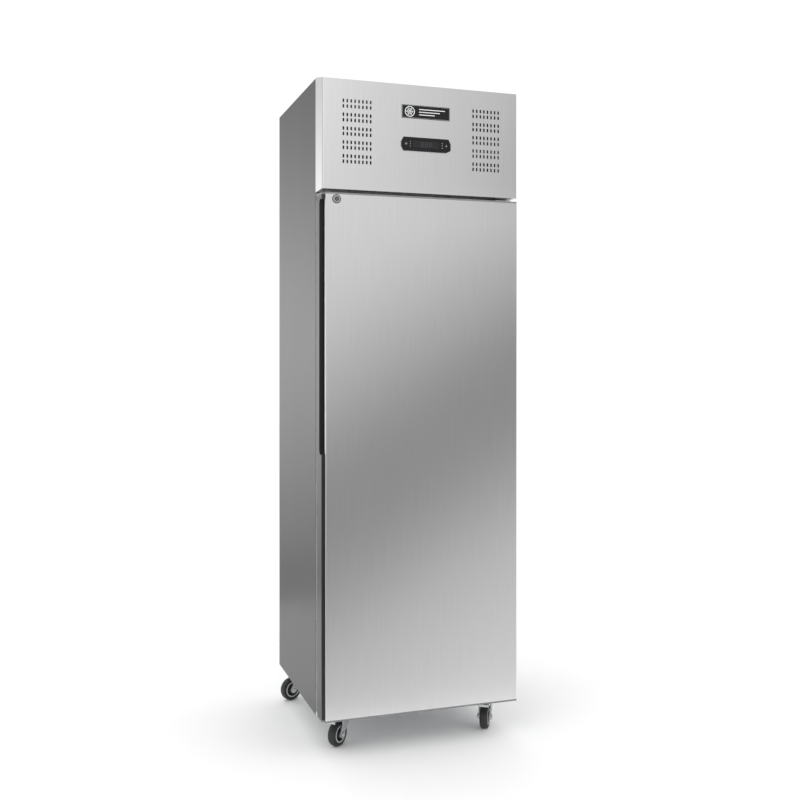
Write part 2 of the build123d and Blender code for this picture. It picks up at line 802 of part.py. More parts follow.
def make_fan(name, hub_face, radius, hub_radius, depth):
    """Axial fan turning about Y: a bored hub and twisted blades behind the point given."""
    blade_plane = Plane(hub_face, x_dir=(1, 0, 0), z_dir=(0, 1, 0)).offset(depth / 2)
    blade_reach = radius - hub_radius + blade_root
    with BuildPart(blade_plane) as fan:
        Cylinder(hub_radius, depth)
        with PolarLocations(hub_radius - blade_root + blade_reach / 2, fan_blades):
            Box(blade_reach, radius * blade_chord, blade_thickness, rotation=(blade_pitch, 0, 0))
        Cylinder(radius, 10 * depth, mode=Mode.INTERSECT)
        Hole(shaft_radius + running_clearance)
    save(fan, name)


coil_y = (carcass_front + coil_front_gap, carcass_front + coil_front_gap + coil_depth)
condenser_z = (deck_top, deck_top + coil_height)
make_coil("condenser_coil", span(coil_x, coil_width), coil_y, condenser_z, condenser_rows)

condenser_mid_z = sum(condenser_z) / 2
shroud_y = (coil_y[1], coil_y[1] + shroud_sheet)
with BuildPart() as fan_shroud:
    block(span(coil_x, coil_width), shroud_y, condenser_z)
    collar = (coil_x, shroud_y[0] + shroud_collar / 2, condenser_mid_z)
    rod(collar, condenser_fan_radius + fan_tip_gap + shroud_sheet, shroud_collar, "Y")
    rod(collar, condenser_fan_radius + fan_tip_gap, shroud_collar, "Y", Mode.SUBTRACT)
save(fan_shroud, "fan_shroud")

condenser_fan = (coil_x, shroud_y[0] + shroud_collar + fan_setback, condenser_mid_z)
make_fan("condenser_fan_blade", condenser_fan, condenser_fan_radius, fan_hub_radius, fan_depth)

unit_y = (cavity_back - unit_depth, cavity_back)
evaporator_z = (unit_bottom + evaporator_lift, unit_bottom + evaporator_lift + evaporator_height)
evaporator_mid_z = sum(evaporator_z) / 2
evaporator_fan = (evaporator_fan_x, unit_y[0] + evaporator_fan_setback, evaporator_mid_z)
make_fan("evaporator_fan_blade", evaporator_fan, evaporator_fan_radius, fan_hub_radius / 2, fan_depth / 2)


def add_motor(fan_point, can_front, radius, length, entry, mount_z):
    """Motor behind a fan: can, shaft towards the front, and a strip that carries the can."""
    x, fan_y, z = fan_point
    can_y = can_front + length / 2
    rod((x, can_y, z), radius, length, "Y")
    shaft_back = can_front + entry
    rod((x, (fan_y + shaft_back) / 2, z), shaft_radius, shaft_back - fan_y, "Y")
    block(span(x, radius), span(can_y, length / 2), sorted((z, mount_z)))


with BuildPart() as fan_motors:
    add_motor(
        condenser_fan,
        condenser_fan[1] + fan_depth + motor_gap,
        motor_radius,
        motor_length,
        shaft_entry,
        deck_top,
    )
    add_motor(
        evaporator_fan,
        evaporator_fan[1] + fan_depth / 2 + evaporator_motor_gap,
        evaporator_motor_radius,
        evaporator_motor_length,
        evaporator_shaft_entry,
        cavity_top,
    )
save(fan_motors, "fan_motors")


# ---- Compressor and refrigerant circuit ---------------------------------------------------------

feet_z = deck_top + grommet_height
with BuildPart() as compressor:
    with BuildSketch(Plane.XY.offset(feet_z)):
        with Locations((compressor_x, compressor_y)):
            RectangleRounded(*compressor_feet, compressor_foot_corner)
    extrude(amount=compressor_foot_sheet)
    with BuildSketch(Plane.XY.offset(feet_z)):
        with Locations((compressor_x, compressor_y)):
            Ellipse(compressor_radius, compressor_radius * compressor_narrowing)
    extrude(amount=compressor_height)
    fillet(edges().group_by(Axis.Z)[-1], compressor_radius * compressor_dome)
save(compressor, "compressor")

with BuildPart() as compressor_grommets:
    with BuildSketch(Plane.XY.offset(deck_top)):
        with Locations((compressor_x, compressor_y)):
            with GridLocations(*(size - 2 * grommet_inset for size in compressor_feet), 2, 2):
                Circle(grommet_radius)
                Circle(grommet_radius / 3, mode=Mode.SUBTRACT)
    extrude(amount=grommet_height)
save(compressor_grommets, "compressor_grommets")

evaporator_x_span = span(evaporator_x, evaporator_width)
evaporator_y = span(port_y, evaporator_depth)
make_coil("evaporator_coil", evaporator_x_span, evaporator_y, evaporator_z, evaporator_rows)


def make_pipe(*points):
    """Copper tube along straight runs with rounded corners."""
    with BuildLine() as route:
        FilletPolyline(*points, radius=pipe_bend)
    first_run = Vector(*points[1]) - Vector(*points[0])
    with BuildSketch(Plane(points[0], z_dir=first_run)) as section:
        Circle(pipe_radius)
    sweep(section.sketch, path=route.line)


compressor_top = feet_z + compressor_height
discharge_x = compressor_x - discharge_side
return_x = compressor_x + suction_side
coil_right = coil_x + coil_width / 2
coil_mid_y = sum(coil_y) / 2
low_row_z = condenser_z[0] + coil_height / condenser_rows / 2
high_row_z = condenser_z[1] - coil_height / condenser_rows / 2
evaporator_half_row = evaporator_height / evaporator_rows / 2
liquid_x = port_x - pipe_spread
suction_x = port_x + pipe_spread
with BuildPart() as refrigerant_pipes:
    # Discharge line, from the compressor's top to the condenser's upper row
    make_pipe(
        (discharge_x, compressor_y, compressor_top),
        (discharge_x, compressor_y, high_row_z),
        (discharge_x, coil_mid_y, high_row_z),
        (coil_right, coil_mid_y, high_row_z),
    )
    # Liquid line down the port to the evaporator, swollen where it holds the filter drier
    make_pipe(
        (coil_right, coil_mid_y, low_row_z),
        (liquid_x, coil_mid_y, low_row_z),
        (liquid_x, port_y, low_row_z),
        (liquid_x, port_y, evaporator_z[1] - evaporator_half_row),
        (evaporator_x_span[1], port_y, evaporator_z[1] - evaporator_half_row),
    )
    # Suction line back to the compressor
    make_pipe(
        (evaporator_x_span[1], port_y, evaporator_z[0] + evaporator_half_row),
        (suction_x, port_y, evaporator_z[0] + evaporator_half_row),
        (suction_x, port_y, compressor_top + suction_rise),
        (return_x, port_y, compressor_top + suction_rise),
        (return_x, compressor_y, compressor_top + suction_rise),
        (return_x, compressor_y, compressor_top),
    )
    rod((liquid_x, drier_y, low_row_z), drier_radius, drier_length, "Y")
save(refrigerant_pipes, "refrigerant_pipes")


# ---- Rear cover of the machine compartment ------------------------------------------------------

grille_y = carcass_back - grille_inset
grille_mid_z = (deck_top + top_z - steel) / 2
gland_x = grille_gland_inset - inner_half
screw_x = inner_half - grille_screw_inset
screw_dz = (top_z - steel - deck_top) / 2 - grille_screw_inset
with BuildPart() as rear_grille:
    block((-inner_half, inner_half), (grille_y - steel, grille_y), (deck_top, top_z - steel))
    with BuildSketch(Plane.XZ.offset(-grille_y)):
        with Locations((grille_louvre_x, grille_mid_z)):
            louvre_step = louvre_length + louvre_column_gap
            with GridLocations(louvre_step, louvre_pitch, louvre_columns, louvre_rows):
                SlotOverall(louvre_length, louvre_height)
        with Locations((gland_x, grille_mid_z)):
            Circle(gland_bore)
        with Locations((0, grille_mid_z)):
            with GridLocations(2 * screw_x, 2 * screw_dz, 2, 2):
                Circle(screw_shank_radius + screw_gap)
    extrude(amount=steel, mode=Mode.SUBTRACT)
save(rear_grille, "rear_grille")

with BuildPart() as power_gland:
    with BuildSketch(Plane.XZ.offset(-grille_y)):
        with Locations((gland_x, grille_mid_z)):
            RegularPolygon(gland_radius, 6)
    extrude(amount=-gland_reach / 2)
    rod((gland_x, grille_y + gland_reach / 2, grille_mid_z), gland_body_radius, gland_reach, "Y")
    rod((gland_x, grille_y, grille_mid_z), gland_bore, 4 * gland_reach, "Y", Mode.SUBTRACT)
save(power_gland, "power_gland")

with BuildPart() as grille_screws:
    with Locations((0, grille_y + screw_head_height / 2, grille_mid_z)):
        with GridLocations(2 * screw_x, 1, 2, 1):
            for rise in (-screw_dz, screw_dz):
                with Locations((0, 0, rise)):
                    Cylinder(screw_head_radius, screw_head_height, rotation=(90, 0, 0))
                with Locations((0, -screw_length / 2, rise)):
                    Cylinder(screw_shank_radius, screw_length, rotation=(90, 0, 0))
save(grille_screws, "grille_screws")


# ---- Evaporator unit and lamp -------------------------------------------------------------------

with BuildPart() as evaporator_cover:
    block((-unit_half_width, unit_half_width), unit_y, (unit_bottom, cavity_top))
    block(
        (steel - unit_half_width, unit_half_width - steel),
        (unit_y[0] + steel, unit_y[1]),
        (unit_bottom + steel, cavity_top),
        Mode.SUBTRACT,
    )
    with BuildSketch(Plane.XZ.offset(-unit_y[0])):
        with Locations((evaporator_fan_x, evaporator_mid_z)):
            Circle(evaporator_fan_radius + fan_tip_gap)
        with Locations((evaporator_x, evaporator_mid_z)):
            with GridLocations(*intake_pitch, *intake_grid):
                SlotOverall(*intake_slot, rotation=90)
    extrude(amount=-2 * steel, mode=Mode.SUBTRACT)
save(evaporator_cover, "evaporator_cover")

with BuildPart() as interior_lamp:
    lamp_y = carcass_front + breaker_depth + lamp_setback
    block(span(0, lamp_length), (lamp_y, lamp_y + lamp_depth), (cavity_top - lamp_height, cavity_top))
    fillet(faces().sort_by(Axis.Z)[0].edges(), lamp_height / 3)
save(interior_lamp, "interior_lamp")


# ---- Casters ------------------------------------------------------------------------------------

plate_z = (base_z - plate_thickness, base_z)
raceway_z = (plate_z[0] - raceway_height, plate_z[0])
fork_top = raceway_z[0] - moving_gap
kingpin_bottom = fork_top - fork_sheet - kingpin_tail
pedal_pivot = (caster_trail / 2, fork_top - pedal_drop)
braked = ("front_left", "front_right")
caster_y = {"front": carcass_front + caster_inset, "rear": carcass_back - caster_inset}
caster_points = {
    corner: (caster_x[corner], caster_y[corner.split("_")[0]])
    for corner in caster_angles
}

plate_slot_pitch = (plate_width - 2 * plate_slot_inset[0], plate_length - 2 * plate_slot_inset[1])

# Top plates with the fixed half of each raceway and its kingpin
with BuildPart() as caster_plates:
    for point in caster_points.values():
        with BuildSketch(Plane.XY.offset(plate_z[0])):
            with Locations(point):
                RectangleRounded(plate_width, plate_length, plate_corner)
                with GridLocations(*plate_slot_pitch, 2, 2):
                    SlotOverall(*plate_slot, mode=Mode.SUBTRACT)
        extrude(amount=plate_thickness)
        rod((*point, sum(raceway_z) / 2), raceway_radius, raceway_height)
        rod((*point, (kingpin_bottom + raceway_z[0]) / 2), kingpin_radius, raceway_z[0] - kingpin_bottom)
        flange_z = kingpin_bottom + kingpin_flange_height / 2
        rod((*point, flange_z), kingpin_radius + kingpin_flange, kingpin_flange_height)
save(caster_plates, "caster_plates")


def caster_plane(corner):
    """Plane on the floor under a swivel axis, with x along the direction in which the wheel trails."""
    angle = radians(caster_angles[corner])
    return Plane((*caster_points[corner], 0), x_dir=(cos(angle), sin(angle), 0), z_dir=(0, 0, 1))


def upright(corner, across):
    """Upright plane through a caster: x along the trail, y up, shifted across towards its left."""
    ground = caster_plane(corner)
    return Plane(ground.from_local_coords((0, across, 0)), x_dir=ground.x_dir, z_dir=-ground.y_dir)


def make_fork(corner):
    """Pressed fork: a round top, two legs that taper down to the axle, and the riveted axle bolt."""
    with BuildPart() as fork:
        with BuildSketch(caster_plane(corner).offset(fork_top - fork_sheet)):
            Circle(fork_top_radius)
            Rectangle(fork_top_radius, fork_inner + 2 * fork_sheet)
            Circle(kingpin_radius + running_clearance, mode=Mode.SUBTRACT)
        extrude(amount=fork_sheet)
        for side in (-1, 1):
            with BuildSketch(upright(corner, side * (fork_inner + fork_sheet) / 2)):
                with BuildLine():
                    Polyline(
                        (-fork_top_radius * 0.8, fork_top),
                        (fork_top_radius * 0.95, fork_top),
                        (caster_trail + fork_foot_radius, wheel_radius),
                        (caster_trail - fork_foot_radius, wheel_radius),
                        (-fork_top_radius * 0.8, fork_top - fork_sheet * 3),
                        close=True,
                    )
                make_face()
                with Locations((caster_trail, wheel_radius)):
                    Circle(fork_foot_radius)
                if corner in braked:
                    with Locations(pedal_pivot):
                        Circle(pedal_pin_radius + running_clearance, mode=Mode.SUBTRACT)
            extrude(amount=fork_sheet / 2, both=True)
            with BuildSketch(upright(corner, side * (fork_inner / 2 + fork_sheet + axle_head / 2))):
                with Locations((caster_trail, wheel_radius)):
                    RegularPolygon(axle_head_radius, 6)
            extrude(amount=axle_head / 2, both=True)
        with BuildSketch(upright(corner, 0)):
            with Locations((caster_trail, wheel_radius)):
                Circle(axle_radius)
        extrude(amount=fork_inner / 2, both=True)
    save(fork, f"fork_{corner}")


def make_wheel(corner):
    """Grey wheel core with a proud rim ring, and the rubber tyre round it."""
    with BuildPart() as core:
        with BuildSketch(upright(corner, 0)):
            with Locations((caster_trail, wheel_radius)):
                Circle(rim_outer)
        extrude(amount=tyre_width / 2 - web_recess, both=True)
        boss = (axle_radius, wheel_boss_radius, hub_width / 2)
        ring = (rim_outer - rim_ring, rim_outer, tyre_width / 2)
        for inner, outer, reach in (boss, ring):
            with BuildSketch(upright(corner, 0)):
                with Locations((caster_trail, wheel_radius)):
                    Circle(outer)
                    Circle(inner, mode=Mode.SUBTRACT)
            extrude(amount=reach, both=True)
        with BuildSketch(upright(corner, 0)):
            with Locations((caster_trail, wheel_radius)):
                Circle(axle_radius + running_clearance)
        extrude(amount=hub_width, both=True, mode=Mode.SUBTRACT)
    save(core, f"wheel_core_{corner}")
    with BuildPart() as tyre:
        with BuildSketch(upright(corner, 0)):
            with Locations((caster_trail, wheel_radius)):
                Circle(wheel_radius)
                Circle(rim_outer, mode=Mode.SUBTRACT)
        extrude(amount=tyre_width / 2, both=True)
        fillet(edges().filter_by(GeomType.CIRCLE).group_by(SortBy.RADIUS)[-1], tyre_shoulder)
    save(tyre, f"tyre_{corner}")


def make_pedal(corner):
    """Brake pedal: a pin through both fork legs, an arm between them and a broad tread over the wheel."""
    pin_x, pin_z = pedal_pivot
    tread_start = pin_x + pedal_arm
    tread_end = pin_x + pedal_length
    top = pin_z + pedal_rise
    with BuildPart() as pedal:
        with BuildSketch(upright(corner, 0)):
            with Locations(pedal_pivot):
                Circle(pedal_pin_radius)
        extrude(amount=fork_inner / 2 + fork_sheet, both=True)
        with BuildSketch(upright(corner, 0)):
            with Locations(pedal_pivot):
                Circle(pedal_pin_radius + pedal_boss)
            with Locations((pin_x, top - pedal_sheet)):
                Rectangle(pedal_arm + pedal_boss, pedal_sheet, align=Align.MIN)
        extrude(amount=fork_inner / 2 - pedal_side_gap, both=True)
        with BuildSketch(upright(corner, 0)):
            with BuildLine():
                Polyline(
                    (tread_start, top),
                    (tread_end, pin_z),
                    (tread_end, pin_z - pedal_lip),
                    (tread_end - pedal_lip_sheet, pin_z - pedal_lip),
                    (tread_end - pedal_lip_sheet, pin_z - pedal_lip_sheet),
                    (tread_start, top - pedal_sheet),
                    close=True,
                )
            make_face()
        extrude(amount=pedal_tread_width / 2, both=True)
    save(pedal, f"pedal_{corner}")


for corner in caster_angles:
    make_fork(corner)
    make_wheel(corner)
    if corner in braked:
        make_pedal(corner)
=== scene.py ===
import json
import math

import bmesh
import bpy
from mathutils import Matrix, Vector


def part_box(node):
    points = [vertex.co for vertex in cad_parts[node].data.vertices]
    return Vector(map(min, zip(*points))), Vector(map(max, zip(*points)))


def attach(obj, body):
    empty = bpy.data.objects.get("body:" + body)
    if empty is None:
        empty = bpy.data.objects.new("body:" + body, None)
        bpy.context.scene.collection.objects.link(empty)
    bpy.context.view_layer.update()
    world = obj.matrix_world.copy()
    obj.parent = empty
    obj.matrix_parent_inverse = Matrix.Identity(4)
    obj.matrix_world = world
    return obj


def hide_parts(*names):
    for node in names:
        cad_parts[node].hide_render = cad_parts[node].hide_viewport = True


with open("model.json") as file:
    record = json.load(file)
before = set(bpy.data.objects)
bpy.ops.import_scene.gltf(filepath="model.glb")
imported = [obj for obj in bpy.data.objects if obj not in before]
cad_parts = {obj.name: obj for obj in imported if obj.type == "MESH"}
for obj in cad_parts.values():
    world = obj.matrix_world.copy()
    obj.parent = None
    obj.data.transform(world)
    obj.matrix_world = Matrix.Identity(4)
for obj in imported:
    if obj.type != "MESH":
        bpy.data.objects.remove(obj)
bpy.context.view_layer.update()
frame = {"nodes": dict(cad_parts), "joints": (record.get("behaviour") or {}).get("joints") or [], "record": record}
nodes = frame["nodes"]
joints = {joint["name"]: joint for joint in frame["joints"]}

MM = 0.001
CORNERS = ("front_left", "front_right", "rear_left", "rear_right")
BRAKED = ("front_left", "front_right")

# Sizes that several of the casters' pieces use
WHEEL_RADIUS = 37.5 * MM
TYRE_HALF = 12.5 * MM         # half the tyre's width
RIM_RADIUS = 26 * MM          # where the tyre sits on the wheel's core
LEG_FACE = 18.5 * MM          # from the wheel's middle to the outside of a fork leg

PRINT_LIFT = 0.12 * MM        # how far printed digits and symbols stand up


# ---- Material helpers ---------------------------------------------------------------------------

class Finish:
    """A Principled material whose detail comes from noise in the frame's own coordinates, in metres."""

    def __init__(self, name, colour, roughness, metallic=0.0):
        self.material = bpy.data.materials.new(name)
        self.material.use_nodes = True
        self.tree = self.material.node_tree
        self.shader = self.tree.nodes["Principled BSDF"]
        self.shader.inputs["Base Color"].default_value = (*colour, 1)
        self.shader.inputs["Roughness"].default_value = roughness
        self.shader.inputs["Metallic"].default_value = metallic
        self.colour = colour
        self.roughness = roughness
        self.place = self.tree.nodes.new("ShaderNodeTexCoord").outputs["Object"]
        self.normal = None

    def set(self, **values):
        for name, value in values.items():
            self.shader.inputs[name.replace("_", " ")].default_value = value
        return self

    def scaled(self, scale):
        mapping = self.tree.nodes.new("ShaderNodeMapping")
        mapping.inputs["Scale"].default_value = scale
        self.tree.links.new(self.place, mapping.inputs["Vector"])
        return mapping.outputs["Vector"]

    def noise(self, scale, detail=3, distortion=0.0):
        """Noise between 0 and 1, with one scale for each axis, in cycles per metre."""
        texture = self.tree.nodes.new("ShaderNodeTexNoise")
        texture.inputs["Scale"].default_value = 1
        texture.inputs["Detail"].default_value = detail
        texture.inputs["Distortion"].default_value = distortion
        self.tree.links.new(self.scaled(scale), texture.inputs["Vector"])
        return texture.outputs["Fac"]

    def cells(self, scale, feature="F1", output="Distance"):
        texture = self.tree.nodes.new("ShaderNodeTexVoronoi")
        texture.feature = feature
        texture.inputs["Scale"].default_value = 1
        self.tree.links.new(self.scaled(scale), texture.inputs["Vector"])
        return texture.outputs[output]

    def remap(self, value, low, high, start=0.3, end=0.7):
        ranged = self.tree.nodes.new("ShaderNodeMapRange")
        ranged.inputs["From Min"].default_value = start
        ranged.inputs["From Max"].default_value = end
        ranged.inputs["To Min"].default_value = low
        ranged.inputs["To Max"].default_value = high
        self.tree.links.new(value, ranged.inputs["Value"])
        return ranged.outputs["Result"]

    def tint(self, value, dark, light, start=0.3, end=0.7):
        """Base colour that runs between two colours with the value given."""
        ramp = self.tree.nodes.new("ShaderNodeValToRGB")
        ramp.color_ramp.elements[0].position = start
        ramp.color_ramp.elements[0].color = (*dark, 1)
        ramp.color_ramp.elements[1].position = end
        ramp.color_ramp.elements[1].color = (*light, 1)
        self.tree.links.new(value, ramp.inputs["Fac"])
        self.tree.links.new(ramp.outputs["Color"], self.shader.inputs["Base Color"])
        return self

    def vary_colour(self, value, share):
        dark = [c * (1 - share) for c in self.colour]
        light = [min(1, c * (1 + share)) for c in self.colour]
        return self.tint(value, dark, light)

    def vary_roughness(self, value, spread, start=0.3, end=0.7):
        ranged = self.remap(value, self.roughness - spread, self.roughness + spread, start, end)
        self.tree.links.new(ranged, self.shader.inputs["Roughness"])
        return self

    def bump(self, value, height, strength=1.0):
        """Relief of the height given, in metres, added on top of any earlier relief."""
        node = self.tree.nodes.new("ShaderNodeBump")
        node.inputs["Distance"].default_value = height
        node.inputs["Strength"].default_value = strength
        self.tree.links.new(value, node.inputs["Height"])
        if self.normal is not None:
            self.tree.links.new(self.normal, node.inputs["Normal"])
        self.normal = node.outputs["Normal"]
        self.tree.links.new(self.normal, self.shader.inputs["Normal"])
        return self


def brushed_steel(name, colour, roughness, grain=(1400, 1400, 6), tint=1.0):
    """Satin stainless with grain lines along the axis of the smallest number, and faint wipe marks."""
    steel = Finish(name, colour, roughness, metallic=1.0)
    lines = steel.noise(grain, detail=2)
    wipes = steel.noise((3.5, 3.5, 1.6), detail=3, distortion=0.6)
    steel.vary_colour(lines, 0.05)
    steel.vary_roughness(wipes, 0.02)
    steel.bump(lines, 0.00001, 0.35)
    steel.shader.inputs["Specular Tint"].default_value = (tint, tint, tint, 1)
    return steel.material


def galvanised(name, colour, roughness):
    """Zinc coating with flat crystals of slightly different greys."""
    zinc = Finish(name, colour, roughness, metallic=1.0)
    crystals = zinc.cells((90, 90, 90), output="Color")
    zinc.vary_colour(crystals, 0.05)
    zinc.vary_roughness(crystals, 0.06, 0.0, 1.0)
    zinc.bump(zinc.noise((40, 40, 40)), 0.00005, 0.3)
    return zinc.material


def plated(name, colour, roughness, wear=0.08):
    """Bright plating with fine scratches and uneven dullness."""
    metal = Finish(name, colour, roughness, metallic=1.0)
    metal.vary_colour(metal.noise((60, 60, 60), detail=4), wear)
    metal.vary_roughness(metal.noise((150, 150, 150), detail=5), roughness * 0.35)
    metal.bump(metal.noise((900, 900, 60), detail=2), 0.00001, 0.3)
    return metal.material


def moulded(name, colour, roughness, grain=1600, relief=0.00004, share=0.1):
    """Moulded plastic or rubber with a fine skin texture."""
    plastic = Finish(name, colour, roughness)
    plastic.vary_colour(plastic.noise((25, 25, 25), detail=4), share)
    plastic.vary_roughness(plastic.noise((70, 70, 70), detail=3), 0.06)
    plastic.bump(plastic.noise((grain, grain, grain), detail=2), relief, 0.5)
    return plastic.material


def coated(name, colour, roughness, peel=180):
    """Powder coat or epoxy with a soft orange-peel surface."""
    paint = Finish(name, colour, roughness)
    paint.vary_colour(paint.noise((6, 6, 6), detail=3), 0.02)
    paint.vary_roughness(paint.noise((12, 12, 12), detail=2), 0.05)
    paint.bump(paint.noise((peel, peel, peel), detail=2), 0.00005, 0.35)
    paint.set(Coat_Weight=0.25, Coat_Roughness=0.12)
    return paint.material


def glossy_black(name, colour, roughness):
    """Polished dark acrylic with hairline scratches and a trace of dust."""
    gloss = Finish(name, colour, roughness)
    gloss.vary_roughness(gloss.noise((45, 45, 45), detail=5), roughness * 0.4)
    gloss.vary_colour(gloss.noise((300, 300, 300), detail=2), 0.3)
    gloss.bump(gloss.noise((700, 700, 90), detail=1), 0.000004, 0.2)
    gloss.set(Specular_IOR_Level=0.22)
    return gloss.material


def diffuser(name, colour):
    """Opal lamp cover, ribbed along its length and faintly lit."""
    opal = Finish(name, colour, 0.35)
    opal.bump(opal.noise((1, 700, 1), detail=1), 0.0003, 0.6)
    opal.vary_colour(opal.noise((30, 30, 30)), 0.03)
    opal.set(Emission_Color=(1, 0.97, 0.92, 1), Emission_Strength=0.35)
    return opal.material


def insulation(name):
    foam = Finish(name, (0.78, 0.66, 0.36), 0.9)
    bubble_relief_and_painted_shade = foam.cells((900, 900, 900))
    # The foam is painted darker in the middle of each bubble, where the bump below sinks into a pit: painted shade
    # in the pits, not a colour of the foam.
    foam.tint(bubble_relief_and_painted_shade, (0.6, 0.48, 0.24), (0.85, 0.74, 0.45), 0.0, 0.8)
    foam.bump(bubble_relief_and_painted_shade, 0.0006, 0.7)
    return foam.material


def copper_tube(name):
    tube = Finish(name, (0.80, 0.42, 0.26), 0.3, metallic=1.0)
    tarnish = tube.noise((22, 22, 22), detail=5)
    tube.tint(tarnish, (0.42, 0.20, 0.12), (0.86, 0.48, 0.31), 0.3, 0.62)
    tube.vary_roughness(tarnish, 0.08)
    tube.bump(tube.noise((500, 500, 500)), 0.00002, 0.3)
    return tube.material


FINISHES = {
    "stainless_bright": brushed_steel("stainless_bright", (0.80, 0.80, 0.805), 0.30),
    "stainless_cabinet": brushed_steel("stainless_cabinet", (0.26, 0.26, 0.262), 0.30, tint=0.55),
    "galvanised_steel": galvanised("galvanised_steel", (0.52, 0.54, 0.55), 0.42),
    "white_liner": coated("white_liner", (0.68, 0.69, 0.69), 0.38),
    "foam": insulation("foam"),
    "breaker_plastic": moulded("breaker_plastic", (0.62, 0.63, 0.63), 0.5, share=0.03),
    "black_plastic": moulded("black_plastic", (0.018, 0.018, 0.019), 0.42),
    "gloss_black": glossy_black("gloss_black", (0.012, 0.012, 0.013), 0.16),
    "display_glass": glossy_black("display_glass", (0.02, 0.021, 0.023), 0.08),
    "button_plastic": moulded("button_plastic", (0.05, 0.05, 0.052), 0.35),
    "gasket": moulded("gasket", (0.66, 0.67, 0.67), 0.55, grain=600, share=0.05),
    "grey_bush": moulded("grey_bush", (0.7, 0.7, 0.68), 0.45),
    "chrome": plated("chrome", (0.50, 0.50, 0.51), 0.2, 0.06),
    "coated_wire": coated("coated_wire", (0.78, 0.79, 0.79), 0.3, 400),
    "coil_metal": plated("coil_metal", (0.72, 0.73, 0.74), 0.34),
    "compressor_paint": coated("compressor_paint", (0.014, 0.014, 0.015), 0.35),
    "copper": copper_tube("copper"),
    "rubber": moulded("rubber", (0.02, 0.02, 0.02), 0.65, 900),
    "tyre": moulded("tyre", (0.022, 0.022, 0.023), 0.5, 500, 0.00006, 0.25),
    "wheel_grey": moulded("wheel_grey", (0.03, 0.03, 0.031), 0.4),
    "zinc_steel": galvanised("zinc_steel", (0.60, 0.61, 0.62), 0.30),
    "lamp": diffuser("lamp", (0.9, 0.9, 0.88)),
}
RING_GREY = moulded("ring_grey", (0.55, 0.56, 0.56), 0.38)
PLUG_DARK = plated("plug_dark", (0.13, 0.13, 0.135), 0.3)
CAP_GREY = moulded("cap_grey", (0.20, 0.20, 0.205), 0.4)
MARK_WHITE = moulded("mark_white", (0.82, 0.83, 0.84), 0.45, share=0.03)
SCREW_STEEL = plated("screw_steel", (0.66, 0.66, 0.67), 0.24)


def dress_cad_nodes():
    """Every CAD node gets the finish of its record slot, but for two whose shade is its own."""
    for entry in frame["record"]["subparts"]:
        mesh = nodes[entry["node"]].data
        mesh.materials.clear()
        mesh.materials.append(FINISHES[entry["material_slot"]])
    nodes["door_end_caps"].data.materials[0] = CAP_GREY
    nodes["lock_plug"].data.materials[0] = PLUG_DARK


# ---- Mesh helpers -------------------------------------------------------------------------------

def add_piece(name, bm, finish, body, smooth=40):
    """Turns a bmesh into an object that rides on a body."""
    bmesh.ops.remove_doubles(bm, verts=bm.verts, dist=1e-6)
    bmesh.ops.recalc_face_normals(bm, faces=bm.faces)
    mesh = bpy.data.meshes.new(name)
    bm.to_mesh(mesh)
    bm.free()
    piece = bpy.data.objects.new(name, mesh)
    bpy.context.scene.collection.objects.link(piece)
    mesh.materials.append(finish)
    mesh.polygons.foreach_set("use_smooth", [True] * len(mesh.polygons))
    mesh.set_sharp_from_angle(angle=math.radians(smooth))
    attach(piece, body)
    return piece


def facing(place, axis):
    """Matrix that puts local +Z along an axis at a place."""
    return Matrix.Translation(place) @ Vector(axis).to_track_quat("Z", "Y").to_matrix().to_4x4()


def turn_profile(bm, profile, matrix, steps=48):
    """Lathe form: the profile's (radius, height) points turned about local Z."""
    rings = []
    for radius, height in profile:
        if radius < 1e-7:
            rings.append([bm.verts.new(matrix @ Vector((0, 0, height)))])
            continue
        ring = []
        for step in range(steps):
            turn = 2 * math.pi * step / steps
            place = Vector((radius * math.cos(turn), radius * math.sin(turn), height))
            ring.append(bm.verts.new(matrix @ place))
        rings.append(ring)
    for low, high in zip(rings, rings[1:]):
        for step in range(steps):
            after = (step + 1) % steps
            if len(low) == 1:
                bm.faces.new((low[0], high[step], high[after]))
            elif len(high) == 1:
                bm.faces.new((low[step], low[after], high[0]))
            else:
                bm.faces.new((low[step], low[after], high[after], high[step]))


def extrude_outline(bm, outline, matrix, thickness, bevel=0.0):
    """Plate from an outline of (x, y) points, standing from local z = 0 up."""
    low = [bm.verts.new(matrix @ Vector((x, y, 0))) for x, y in outline]
    inner = outline if bevel == 0 else shrink(outline, bevel)
    top_z = thickness if bevel == 0 else thickness - bevel
    middle = [bm.verts.new(matrix @ Vector((x, y, top_z))) for x, y in outline]
    loops = [low, middle]
    if bevel:
        loops.append([bm.verts.new(matrix @ Vector((x, y, thickness))) for x, y in inner])
    for a, b in zip(loops, loops[1:]):
        for i in range(len(outline)):
            j = (i + 1) % len(outline)
            bm.faces.new((a[i], a[j], b[j], b[i]))
    bm.faces.new(loops[-1])
    bm.faces.new(list(reversed(low)))


def shrink(outline, amount):
    """Outline drawn in towards its middle by about an amount."""
    middle_x = sum(p[0] for p in outline) / len(outline)
    middle_y = sum(p[1] for p in outline) / len(outline)
    drawn = []
    for x, y in outline:
        reach = math.hypot(x - middle_x, y - middle_y)
        keep = (reach - amount) / reach
        drawn.append((middle_x + (x - middle_x) * keep, middle_y + (y - middle_y) * keep))
    return drawn


def disc_outline(radius, sides=40):
    turns = [2 * math.pi * i / sides for i in range(sides)]
    return [(radius * math.cos(turn), radius * math.sin(turn)) for turn in turns]


def bar_outline(x0, y0, x1, y1, width):
    """Straight bar between two points, as four corners."""
    along = Vector((x1 - x0, y1 - y0)).normalized()
    side = Vector((-along.y, along.x)) * width / 2
    return [
        (x0 + side.x, y0 + side.y),
        (x0 - side.x, y0 - side.y),
        (x1 - side.x, y1 - side.y),
        (x1 + side.x, y1 + side.y),
    ]


